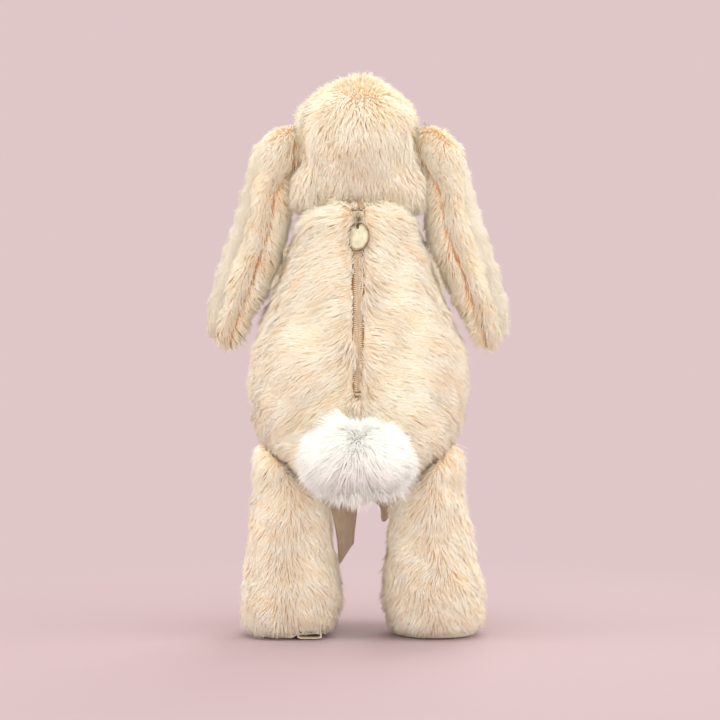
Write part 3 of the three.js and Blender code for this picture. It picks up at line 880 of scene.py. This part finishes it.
def seat_tail(rings):
    """Makes the tail a little fuller, and sets it against the back."""
    centre = rings.mean((0, 1))
    rings[:] = centre + (rings - centre) * (1.08, 1.1, 1.05) + (0, -8 * MM, 3.5 * MM)


def folded_edge(rings, side):
    """Draws in the outer edge of an ear's long pile, where the short-pile flap shows beyond it."""
    z = rings[:, 0, 2]
    drawn = np.interp((z - z[0]) / (z[-1] - z[0]), *np.transpose(PILE_EDGE))[:, None]
    centre = rings[..., 0].mean(1, keepdims=True)
    out = (rings[..., 0] - centre) * side
    rings = rings.copy()
    rings[..., 0] = centre + np.where(out > 0, out * drawn, out) * side
    return rings


def ear_parting(rings, side):
    """The X of the fold down an ear's pile at a height, as a function of heights."""
    z = rings[:, 0, 2]
    x = rings[..., 0] * side
    inner, outer = x.min(1), x.max(1)
    share = 0.45 - 0.3 * smoothstep((z - z[0]) / (z[-1] - z[0]), 0.64, 0.86)
    fold = (inner + share * (outer - inner)) * side
    return lambda height: np.interp(height, z, fold)


EAR_PARTING = {}


def crease_ear(obj, rings, side):
    """The lengthwise fold down the back of an ear."""
    parting = ear_parting(rings, side)
    EAR_PARTING[obj.name] = parting
    points = points_of(obj)
    off = points[:, 0] - parting(points[:, 2])
    back = smoothstep(points[:, 1] - points[:, 1].mean(), 0, 4 * MM)
    points[:, 1] -= 3.2 * MM * np.exp(-((off / (4.5 * MM)) ** 2)) * back
    set_points(obj, points)


def sink_zip_channel(obj):
    """The slot between the back panels, in which the zip lies."""
    (_, _, low_z), (_, _, high_z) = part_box("zip_tape_left")
    points = points_of(obj)
    z = points[:, 2]
    inside = (points[:, 1] > 0) & (z > low_z - 4 * MM)
    depth = 4.0 * MM * (1 - smoothstep(abs(points[:, 0]), 2.4 * MM, 4.6 * MM))
    points[:, 1] -= np.where(inside, depth, 0)
    set_points(obj, points)


def flatten_sole(obj):
    points = points_of(obj)
    points[:, 2] = np.maximum(points[:, 2], 3.4 * MM)
    set_points(obj, points)


def settle(obj, body, blend=None):
    """Puts a piece on its body; given a bend, the piece only has its transform baked in and stays on no
    body.
    """
    if blend:
        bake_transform(obj)
    else:
        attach(obj, body)
    return obj


TAIL_HAIR = 26 * MM
PIVOTS = {joint["name"]: np.array(joint["pos_m"]) for joint in frame["joints"] if "pos_m" in joint}
AXES = {joint["name"]: np.array(joint["axis"]) for joint in frame["joints"]}


def across(first, second, pivot, before, after):
    """A record of a bend between two bodies: from before the pivot to after it, both as offsets."""
    return {"between": (first, second), "start": tuple(pivot + before), "end": tuple(pivot + after)}


def clothe(skin, body, ground, nodes, bend=None):
    """Gives a filled form its ground cloth and its body, and hides the frame nodes that it stands for.
    """
    obj = SKINS[skin]
    obj.data.materials.append(MATERIALS[ground])
    settle(obj, body, bend)
    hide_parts(*nodes)


def grow(name, skin, body, slot, tones, bend=None, **settings):
    """Grows a pile on a form; its pieces move as the form does."""
    for obj in pile(name, SKINS[skin], tones=MATERIALS[tones], **settings):
        settle(obj, body, bend)


def near_floor(points):
    """Hair gets shorter towards the floor, so that none of it reaches through."""
    return 0.5 + 0.5 * smoothstep(points[:, 2], 5 * MM, 18 * MM)


def make_torso():
    clothe("torso_skin", "torso", "ground",
           ["belly_panel", "back_panel_left", "back_panel_right"])
    low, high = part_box("zip_tape_left")
    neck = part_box("head_plush")[0].z

    def wanted(points, normals):
        on_zip = (points[:, 1] > 0) & (points[:, 2] > low.z - 3 * MM)
        half = np.interp(points[:, 2], [low.z, high.z], [2.5 * MM, 1.0 * MM])
        beside_zip = ~on_zip | (abs(points[:, 0]) > half)
        return beside_zip & (points[:, 2] < neck + 4 * MM)

    outwards = down(spread_back=1.0, spread_front=-0.1, soft=8 * MM, fall=0.8)

    def flow(points, normals):
        """Nearly level on the back, and steeper towards the seat."""
        direction = outwards(points, normals)
        direction[:, 0] *= np.interp(points[:, 2], (0.11, 0.16, 0.22), (0.6, 1.0, 2.1))
        return direction

    others = [TREES[n] for n in ("leg_left_skin", "leg_right_skin", "arm_left_skin", "arm_right_skin")]
    grow("torso_pile", "torso_skin", "torso", "cream_plush", "body", seed=10, density=0.85,
         length=13.5 * MM, width=0.9 * MM, flow=flow, keep=wanted, avoid=others,
         lift=0.40, lock=0.55, every=10)


def make_head():
    clothe("head_skin", "head", "ground", ["head_plush"])
    low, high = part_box("head_plush")
    face = low.y * 0.55

    def wanted(points, normals):
        eyes = np.ones(len(points), bool)
        for name, _ in SIDES:
            centre = sum(box_of(f"eye_{name}")) / 2
            away = np.linalg.norm((points - centre)[:, [0, 2]], axis=1)
            eyes &= (away > 5.5 * MM) | (points[:, 1] > face)
        return eyes & (points[:, 2] > low.z - 2.5 * MM)

    def shorter(points):
        """The face is clipped shorter than the rest."""
        front = smoothstep(-points[:, 1], -low.y * 0.45, -low.y * 0.85)
        return 1 - 0.45 * front

    others = [TREES["muzzle_skin"]]
    grow("head_pile", "head_skin", "head", "cream_plush", "cream", seed=20, density=1.0,
         length=13 * MM, width=0.85 * MM, keep=wanted, avoid=others,
         flow=down(spread_back=0.1, spread_front=0.5, soft=18 * MM, lean=2.0),
         lift=0.40, lock=0.55, every=10, shorter=shorter)

    clothe("muzzle_skin", "head", "short_ground", ["muzzle"])
    nose_low, nose_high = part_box("nose")

    def off_nose(points, normals):
        x, y, z = points.T
        return ~((y < nose_high.y) & (z > nose_low.z) & (abs(x) < nose_high.x))

    grow("muzzle_pile", "muzzle_skin", "head", "short_plush", "short", seed=23, density=1.6,
         length=4.5 * MM, width=0.65 * MM, flow=down(spread_front=1.0, soft=6 * MM), keep=off_nose,
         avoid=[TREES["head_skin"]], lift=0.5, lock=0.3)


def make_neck():
    """The gathered neck between the head and the body."""
    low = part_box("head_plush")[0].z
    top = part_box("belly_panel")[1].z
    centre_y = PIVOTS["head_nod"][1]
    turn = turns(40)
    rings = []
    for share in np.linspace(-0.92, 0.92, 14):
        bulge = math.sqrt(1 - share**2)
        x, y = 36 * MM * bulge * np.cos(turn), centre_y + 29 * MM * bulge * np.sin(turn)
        rings.append(np.stack([x, y, np.full(40, (low + top) / 2 + share * 13 * MM)], axis=-1))
    obj = SKINS["neck_skin"] = loft("neck_skin", np.array(rings), [MATERIALS["ground"]])
    bend = across("torso", "head", PIVOTS["head_nod"], (0, 0, -9 * MM), (0, 0, 9 * MM))
    settle(obj, None, bend)
    grow("neck_pile", "neck_skin", None, "cream_plush", "cream", bend=bend, seed=25, density=0.8,
         length=11 * MM, width=0.9 * MM, lift=0.45, flow=down(spread_back=0.8, soft=10 * MM),
         keep=lambda points, normals: abs(normals[:, 2]) < 0.85)


def make_ears():
    for name, side in SIDES:
        pivot = PIVOTS[f"ear_{name}_lift"]
        before, after = (side * 1 * MM, 0, 2 * MM), (side * 12 * MM, 0, -14 * MM)
        bend = across("head", f"ear_{name}", pivot, before, after)
        clothe(f"ear_{name}_skin", None, "ear_ground_painted_shade", [f"ear_{name}_plush"],
               bend=bend)
        clothe(f"ear_{name}_flap", f"ear_{name}", "short_ground",
               [f"ear_{name}_lining"])
        parting = EAR_PARTING[f"ear_{name}_skin"]

        parted = down(spread_back=0.8, spread_front=0.5, middle=parting, soft=5 * MM)

        # The fold line is left bare, so the ground's deep colour shows there as the parting's painted
        # shade.
        def off_parting(points, normals, parting=parting, root=pivot[2] - 12 * MM):
            on_line = abs(points[:, 0] - parting(points[:, 2])) < 1.1 * MM
            return ~(on_line & (points[:, 2] < root) & (normals[:, 1] > 0))

        def flow(points, normals, parted=parted):
            """Parted along the fold, and straight down over the root."""
            direction = parted(points, normals)
            direction[:, 0] *= 1 - smoothstep(points[:, 2], 0.335, 0.355)
            return direction

        grow(f"ear_{name}_pile", f"ear_{name}_skin", None, "cream_plush", "ear", bend=bend,
             seed=30 + side, density=1.05, length=11 * MM, width=0.8 * MM, lift=0.36,
             keep=off_parting, avoid=[TREES[f"ear_{name}_flap"]], flow=flow, lock=0.5)
        grow(f"ear_{name}_flap_pile", f"ear_{name}_flap", f"ear_{name}", "short_plush", "short",
             seed=40 + side, density=1.4, length=4.6 * MM, width=0.65 * MM, lift=0.42, bends=1,
             lock=0.25, flow=down(spread_back=0.3, spread_front=0.3),
             avoid=[TREES[f"ear_{name}_skin"]])


def make_arms():
    for name, side in SIDES:
        clothe(f"arm_{name}_skin", f"arm_{name}", "ground", [f"arm_{name}"])
        grow(f"arm_{name}_pile", f"arm_{name}_skin", f"arm_{name}", "cream_plush", "cream",
             seed=50 + side, density=0.75, length=12 * MM, width=0.95 * MM, lift=0.38,
             flow=down(0.2, 0.2), avoid=[TREES["torso_skin"]])


def make_legs():
    for name, side in SIDES:
        pivot = PIVOTS[f"leg_{name}_sit"]
        bend = across("torso", f"leg_{name}", pivot, (0, 0, 27 * MM), (0, 0, -24 * MM))
        clothe(f"leg_{name}_skin", None, "ground", [f"leg_{name}_plush"],
               bend=bend)
        low, high = box_of(f"leg_{name}_plush")
        parting = (low[0] + high[0]) / 2
        grow(f"leg_{name}_pile", f"leg_{name}_skin", None, "cream_plush", "cream", bend=bend,
             seed=60 + side, density=0.85, length=12.5 * MM, width=0.9 * MM, lift=0.38,
             keep=lambda points, normals: points[:, 2] > 5 * MM, avoid=[TREES["torso_skin"]],
             flow=down(spread_back=0.55, spread_front=0.3, middle=parting, soft=9 * MM),
             shorter=near_floor)
        make_sole(name)


# An edge-to-middle profile of a sole pad: its share of the full radius, and its height in mm.
PAD_PROFILE = ((0.25, 0.4), (0.6, 0.4), (0.86, 0.6), (0.97, 1.6), (1.0, 3.0), (0.96, 4.4), (0.8, 5.0),
               (0.4, 5.2))


def make_sole(name):
    """The clipped pad under a foot, with a channel where a strap runs under it."""
    skin = points_of(SKINS[f"leg_{name}_skin"])
    low, high = box_of(f"sole_{name}")
    centre = (low + high) / 2
    ring = skin[(skin[:, 2] < 9 * MM)]
    turn = turns(64, 0.5)
    angle = np.arctan2(ring[:, 1] - centre[1], ring[:, 0] - centre[0])
    far = np.linalg.norm(ring[:, :2] - centre[:2], axis=1)
    radius = np.array([far[np.abs(np.angle(np.exp(1j * (angle - t)))) < 0.16].max() for t in turn])
    radius = (np.roll(radius, 1) + radius + np.roll(radius, -1)) / 3 - 2.5 * MM
    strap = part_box("strap_tail_left")
    rings = []
    for share, z in PAD_PROFILE:
        x, y = centre[0] + share * radius * np.cos(turn), centre[1] + share * radius * np.sin(turn)
        height = np.full(64, z * MM)
        if name == "left":
            over = 1 - smoothstep(abs(x - (strap[0].x + strap[1].x) / 2), 9 * MM, 12 * MM)
            height = np.maximum(height, over * 3.4 * MM)
        rings.append(np.stack([x, y, height], axis=-1))
    obj = loft(f"sole_{name}_pad", np.array(rings), [MATERIALS["short_ground"]])
    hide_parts(f"sole_{name}")
    settle(obj, f"leg_{name}")


def make_tail():
    clothe("tail_skin", "tail", "tail_ground", ["tail_pompom"])
    grow("tail_pile", "tail_skin", "tail", "tail_fur", "tail", seed=70, density=2.8,
         length=TAIL_HAIR, width=0.75 * MM, lift=0.46, avoid=[TREES["torso_skin"]],
         flow=down(spread_back=1.1, spread_front=1.1, soft=12 * MM, lean=1.0, fall=0.9),
         bends=3, lock=0.5, every=14, mess=0.3,
         keep=lambda points, normals: normals[:, 1] > -0.9)


# ---------- zip, ring and tag
UP_ZIP = AXES["zip_slide"] / np.linalg.norm(AXES["zip_slide"])
OUT_ZIP = np.array([0.0, UP_ZIP[2], -UP_ZIP[1]])
TAPE = {"behind": -1.6, "front": -0.4, "top": 1.4}  # mm from the zip's upper end, in its own directions


def zip_origin():
    """The upper end of the zip, on the tapes' outer face."""
    low, high = box_of("zip_tape_left")
    y = low[1] - (TAPE["behind"] * OUT_ZIP[1] + TAPE["top"] * UP_ZIP[1]) * MM
    z = high[2] - (TAPE["top"] * UP_ZIP[2] + TAPE["front"] * OUT_ZIP[2]) * MM
    return np.array([0.0, y, z])


def make_coils():
    """The chain: two nylon coils that interlock turn by turn."""
    origin = zip_origin()
    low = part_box("zip_teeth_left")[0].z
    length = (origin[2] - low) / UP_ZIP[2] - 2 * MM
    pitch, steps = 1.5 * MM, 10
    for name, side in SIDES:
        turns = int(length / pitch)
        t = np.arange(turns * steps + 1) / steps
        angle = t * 2 * math.pi
        shift = 0.5 if side > 0 else 0
        x = side * (1.45 + 1.5 * np.cos(angle)) * MM
        out = (0.75 + 0.75 * np.sin(angle)) * MM
        up = -(1.6 * MM + (t + shift) * pitch)
        path = origin + np.outer(x, (1, 0, 0)) + np.outer(out, OUT_ZIP) + np.outer(up, UP_ZIP)
        coil = tube(f"zip_coil_{name}", path, 0.38 * MM, 6, [MATERIALS["nylon"]])
        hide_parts(f"zip_teeth_{name}")
        settle(coil, "torso")


def soften(node, width, segments=2):
    """Rounds the edges of a frame node with modifiers only."""
    obj = frame["nodes"][node]
    obj.modifiers.new("weld", "WELD").merge_threshold = 0.01 * MM
    bevel = obj.modifiers.new("edges", "BEVEL")
    bevel.width, bevel.segments, bevel.limit_method = width, segments, "ANGLE"


# mm: radius and half thickness of the tag, which is flat with a raised rim.
TAG_PROFILE = ((5.0, 0.52), (7.8, 0.56), (8.3, 0.62), (8.7, 0.80), (9.4, 0.80), (9.85, 0.55))


def make_ring_and_tag():
    eye = PIVOTS["ring_swing"]
    side = AXES["tag_swing"] / np.linalg.norm(AXES["tag_swing"])
    face = np.cross(UP_ZIP, side)
    low, high = box_of("pull_ring")
    drop = (high - low)[2] / 2 - 0.45 * MM
    centre = eye - UP_ZIP * drop
    turn = np.linspace(0.06, 2 * math.pi - 0.06, 49)
    path = centre + drop * (np.outer(np.cos(turn), face) + np.outer(np.sin(turn), UP_ZIP))
    ring = tube("jump_ring", path, 0.5 * MM, 10, [MATERIALS["metal"]])
    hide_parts("pull_ring")
    settle(ring, "pull_ring")

    low, high = box_of("pull_tag")
    radius = 10.0 * MM
    middle_of_disc = (low + high) / 2
    profile = [*TAG_PROFILE, (10.0, 0.0)] + [(r, -h) for r, h in TAG_PROFILE[::-1]]
    angle = turns(64)
    around = np.outer(np.cos(angle), side) + np.outer(np.sin(angle), UP_ZIP)
    rings = [middle_of_disc + (r / 10 * radius) * around + h * MM * face for r, h in profile]
    tag = loft("round_tag", np.array(rings)[::-1], [MATERIALS["metal"], MATERIALS["rim"]])
    centres = np.array([tuple(p.center) for p in tag.data.polygons])
    outer = np.linalg.norm(centres - middle_of_disc, axis=1) > 0.82 * radius
    tag.data.polygons.foreach_set("material_index", outer.astype(np.int32))
    hole_at = eye - UP_ZIP * (2 * drop)
    bore = [hole_at - face * 3 * MM, hole_at, hole_at + face * 3 * MM]
    hole = tube("tag_hole", bore, 1.45 * MM, 20)
    cut = tag.modifiers.new("hole", "BOOLEAN")
    cut.object, cut.operation, cut.solver = hole, "DIFFERENCE", "EXACT"
    bpy.context.view_layer.update()
    bake_modifiers(tag)
    bpy.data.objects.remove(hole)
    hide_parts("pull_tag")
    settle(tag, "pull_tag")


def make_zip():
    make_coils()
    make_ring_and_tag()
    for node in ("zip_slider", "zip_slider_under_plate", "zip_top_stop_left", "zip_top_stop_right",
                 "zip_bottom_stop"):
        soften(node, 0.3 * MM)


# ---------- face
def make_face():
    for name, side in SIDES:
        low, high = box_of(f"eye_{name}")
        radius = (high[0] - low[0]) / 2
        depth = 4.4 * MM
        centre = np.array([(low[0] + high[0]) / 2, low[1] + depth, (low[2] + high[2]) / 2])
        turn = turns(40)
        rings = []
        for tilt in np.linspace(-0.46, 0.46, 23) * math.pi:
            wide, forward = radius * math.cos(tilt), -depth * math.sin(tilt) * np.ones(40)
            ring = np.stack([wide * np.cos(turn), forward, wide * np.sin(turn)], axis=-1)
            rings.append(centre + ring)
        bead = loft(f"bead_eye_{name}", np.array(rings)[::-1], [MATERIALS["bead"]])
        path = [centre, centre + (0, 8 * MM, 0), (centre[0], high[1], centre[2])]
        shank = tube(f"shank_{name}", path, 1.5 * MM, 12, [MATERIALS["bead"]])
        bead = joined(f"bead_eye_{name}", [bead, shank])
        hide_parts(f"eye_{name}")
        settle(bead, "head")
    make_nose()


def make_nose():
    """A stitched nose: satin threads over a small rounded triangle, with a mouth below."""
    low, high = box_of("nose")
    faces = [TREES["muzzle_skin"], TREES["head_skin"]]
    half = (high[0] - low[0]) / 2

    def on_face(x, z, off):
        start = Vector((x, low[1] - 0.05, z))
        found = [tree.ray_cast(start, Vector((0, 1, 0)))[0] for tree in faces]
        nearest = min(hit.y for hit in found if hit is not None)
        return np.array([x, nearest - off, z])

    def at(share):
        """The height, half width and fullness of the nose at a share of its height."""
        width = half * (0.35 + 0.65 * math.sin(min(share * 1.25, 1.0) * math.pi / 2) ** 0.8)
        fullness = math.sin(math.pi * (0.12 + 0.76 * share)) ** 0.6
        return low[2] + share * (high[2] - low[2]), width, fullness

    threads = []
    rows = 13
    for k in range(rows):
        z, width, full = at((k + 0.5) / rows)
        path = []
        for u in np.linspace(-1, 1, 13):
            dome = 3.4 * MM * math.sqrt(max(1 - u * u, 0)) * full
            path.append(on_face(u * width, z + 0.25 * MM * u * u, dome - 0.3 * MM))
        threads.append(tube(f"nose_thread_{k}", path, 0.52 * MM, 8, [MATERIALS["thread"]]))
    base = []
    turn = turns(24)
    for share in np.linspace(0.04, 0.96, 10):
        z, width, full = at(share)
        back = on_face(0, z, 0)[1] + 1.5 * MM
        y = back - (2.9 * MM * full + 1.5 * MM) * np.maximum(np.sin(turn), -0.4)
        base.append(np.stack([width * 0.92 * np.cos(turn), y, np.full(24, z)], axis=-1))
    threads.append(loft("nose_base", np.array(base), [MATERIALS["thread"]]))
    top, drop = low[2] + 0.5 * MM, 7 * MM
    line = [on_face(0, top - t * drop, 0.5 * MM) for t in np.linspace(0, 1, 8)]
    threads.append(tube("mouth_line", line, 0.6 * MM, 8, [MATERIALS["thread"]]))
    for side in (-1, 1):
        smile = [on_face(side * 9 * MM * t, top - drop - 3.2 * MM * math.sin(t * 2.2), 0.5 * MM)
                 for t in np.linspace(0, 1, 9)]
        threads.append(tube("mouth_side", smile, 0.55 * MM, 8, [MATERIALS["thread"]]))
    nose = joined("stitched_nose", threads)
    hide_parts("nose")
    settle(nose, "head")


# ---------- straps
# Routes are in mm from a point on the rabbit's middle plane: x, y, z and the roll of the band.
ROUTE_ORIGIN = (0, -5.37 * MM, 0)
PAD_WIDTH, PAD_THICK, BAND_WIDTH, BAND_THICK = 22 * MM, 5 * MM, 20 * MM, 2.2 * MM
PAD_X = 14
PAD_ROUTE = ((-37.4, 291.5), (-50, 288), (-61, 275), (-67, 252), (-69.5, 222), (-69, 192), (-66, 165))
LOOPS = {
    "left": ((14, -66, 164.4, 0), (14, -66, 142, 0), (14, -66, 122, 0), (10, -62, 94, 0.4),
             (9, -50, 68, 0.9), (9, -38, 57, 1), (9, -26, 66, 1), (10, -15, 84, 0.8),
             (11, -8, 98.5, 0.3)),
    "right": ((-14, -66, 164.4, 0), (-14, -66, 142, 0), (-14, -66, 122, 0), (-13, -62, 107, -0.8),
              (-17, -52, 93, -1.4), (-18.5, -38, 90, -1.571), (-17.5, -24, 92, -1.2),
              (-13, -9, 98, -0.2)),
}
LOOSE_END = ((16, -68.4, 150, 0), (17, -69, 132, 0), (24, -69, 108, 0), (33, -67.5, 80, 0),
             (35, -67, 50, 0), (35, -67, 20, 0), (35, -62, 5, 0), (35, -52, 1.7, 0),
             (35, -20, 1.7, 0), (35, 10, 1.7, 0))


def ribbon_frames(stops, count):
    """Places, and the sideways, outward and lengthwise directions there, along a band's route."""
    curve = spline(stops, count)
    places = curve[:, :3] * MM + ROUTE_ORIGIN
    along = unit(np.gradient(places, axis=0))
    sideways = unit(np.array([1.0, 0, 0]) - along * along[:, :1])
    roll = curve[:, 3:4]
    sideways = sideways * np.cos(roll) + np.cross(along, sideways) * np.sin(roll)
    return places, sideways, np.cross(along, sideways), along


def ribbon(name, stops, width, thick, material, count=90, crown=0.0):
    """A woven band or padded strap with rounded edges, and coordinates across and along it."""
    places, sideways, out, _ = ribbon_frames(stops, count)
    u, v = squarish(turns(20, 0.5), 0.35, 1.0 if crown else 0.35)
    w = u * (width / 2)
    h = v * (thick / 2 * ((1 - crown) + crown * (1 - 0.4 * u**2)))
    rings = [places[k] + np.outer(w, sideways[k]) + np.outer(h, out[k]) for k in range(count)]
    obj = loft(name, np.array(rings), [MATERIALS[material]])
    length = np.concatenate([[0], np.linalg.norm(np.diff(places, axis=0), axis=1).cumsum()])
    flat = np.concatenate([np.stack([np.tile(u * width / 2, count), np.repeat(length, 20)], axis=-1),
                           [(0, 0), (0, length[-1])]])
    weave = obj.data.uv_layers.new(name="weave")
    corners = read_rows(obj.data.loops, "vertex_index", 1, np.int32)[:, 0]
    weave.data.foreach_set("uv", flat[corners].astype(np.float32).ravel())
    return obj


def edge_stitches(name, stops, width, thick, pitch=3.6 * MM):
    """Two rows of thread along a band, stitch by stitch, on both faces."""
    places, sideways, out, along = ribbon_frames(stops, 160)
    length = np.linalg.norm(np.diff(places, axis=0), axis=1).sum()
    made = []
    for t in np.linspace(0.03, 0.97, int(length / pitch)):
        k = int(t * 159)
        for edge in (-1, 1):
            for facing in (-1, 1):
                inset = sideways[k] * edge * (width / 2 - 2.4 * MM)
                middle_of = places[k] + inset + out[k] * facing * thick * 0.5
                step = along[k] * pitch * 0.33
                lift = out[k] * facing * 0.18 * MM
                path = [middle_of - step, middle_of + lift, middle_of + step]
                made.append(tube_points(path, (0.12 * MM, 0.26 * MM, 0.12 * MM), 5))
    points = np.concatenate([ring.reshape(-1, 3) for ring in made])
    one = loft_faces(3, 5)
    faces = np.concatenate([one + 15 * k for k in range(len(made))])
    return mesh_object(name, points, faces, [MATERIALS["stitch"]])


def loft_faces(rows, columns):
    """Triangles of a closed tube whose ends are shut across their own points."""
    quads = grid_faces(rows, columns)
    caps = [(0, k + 1, k) for k in range(1, columns - 1)]
    last = (rows - 1) * columns
    caps += [(last, last + k, last + k + 1) for k in range(1, columns - 1)]
    return np.vstack([quads[:, [0, 1, 2]], quads[:, [0, 2, 3]], caps])


def make_straps():
    for name, side in SIDES:
        pad = [(side * PAD_X, y, z, 0) for y, z in PAD_ROUTE]
        obj = ribbon(f"shoulder_pad_{name}", pad, PAD_WIDTH, PAD_THICK * 1.15, "twill", crown=0.6)
        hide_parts(f"strap_pad_{name}")
        settle(obj, "torso")
        stitches = edge_stitches(f"pad_stitches_{name}", pad, PAD_WIDTH, PAD_THICK * 0.92)
        settle(stitches, "torso")
        band = ribbon(f"webbing_{name}", LOOPS[name], BAND_WIDTH, BAND_THICK, "twill", count=120)
        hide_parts(f"strap_band_{name}")
        settle(band, "torso")
        stitches = edge_stitches(f"webbing_stitches_{name}", LOOPS[name], BAND_WIDTH, BAND_THICK)
        settle(stitches, "torso")
        soften(f"strap_adjuster_{name}", 0.5 * MM)
    sit = PIVOTS["leg_left_sit"]
    bend = across("torso", "leg_left", sit, (0, 0, -10 * MM), (0, 0, -60 * MM))
    loose = ribbon("strap_end_left", LOOSE_END, 15 * MM, 1.8 * MM, "twill", count=150)
    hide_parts("strap_tail_left")
    settle(loose, None, bend)
    make_hem()


def make_hem():
    """The strap's end, turned over and sewn into a flat loop behind the heel, with a near-black band in
    the loop's opening as painted shade.
    """
    low, high = box_of("strap_tail_left")
    x, y, z = (low[0] + high[0]) / 2, high[1] - 7 * MM, 3.1 * MM
    wide, tall, deep, wall = 9.0 * MM, 2.6 * MM, 6.2 * MM, 0.75 * MM
    around, across_wall = 48, 12
    u, v = squarish(turns(around), 0.45, 0.45)
    rings = []
    for k in range(across_wall):
        angle = k * 2 * math.pi / across_wall
        off = wall * math.cos(angle)
        depth = np.full(around, y + deep * math.sin(angle))
        ring = [x + u * (wide - wall + off), depth, z + v * (tall - wall + off)]
        rings.append(np.stack(ring, axis=-1))
    row = np.arange(across_wall)[:, None] * around
    after = (np.arange(across_wall)[:, None] + 1) % across_wall * around
    ring = np.arange(around)
    beside = (ring + 1) % around
    quads = np.stack([row + ring, after + ring, after + beside, row + beside], axis=-1).reshape(-1, 4)
    points = np.array(rings).reshape(-1, 3)
    hem = mesh_object("strap_hem_left", points, quads, [MATERIALS["hem"]])
    settle(hem, "leg_left")
    route = [(35, y, 3.1, 0) for y in (6, 11, 15)]
    # A near-black band fills the loop's opening: painted shade inside the fold.
    inside = ribbon("strap_hem_painted_shade", route, 14 * MM, 2.6 * MM, "hem_painted_shade", count=8)
    settle(inside, "leg_left")


# ---------- what stays inside
def make_inside():
    """Materials for the frame nodes that stay: filling, pellets, washers, lining, tape and metal."""
    kinds = {"stuffing": "fill", "core": "fill", "pellets": "pellets", "washer": "washer",
             "lining": "lining", "tape": "tape", "stop": "slider", "slider": "slider",
             "adjuster": "metal"}
    for node, obj in frame["nodes"].items():
        for word, material in kinds.items():
            if word in node and not obj.hide_render:
                obj.data.materials.clear()
                obj.data.materials.append(MATERIALS[material])


make_camera()
make_stage()
MATERIALS = make_materials()
make_forms()
make_torso()
make_head()
make_neck()
make_ears()
make_arms()
make_legs()
make_tail()
make_zip()
make_face()
make_straps()
make_inside()
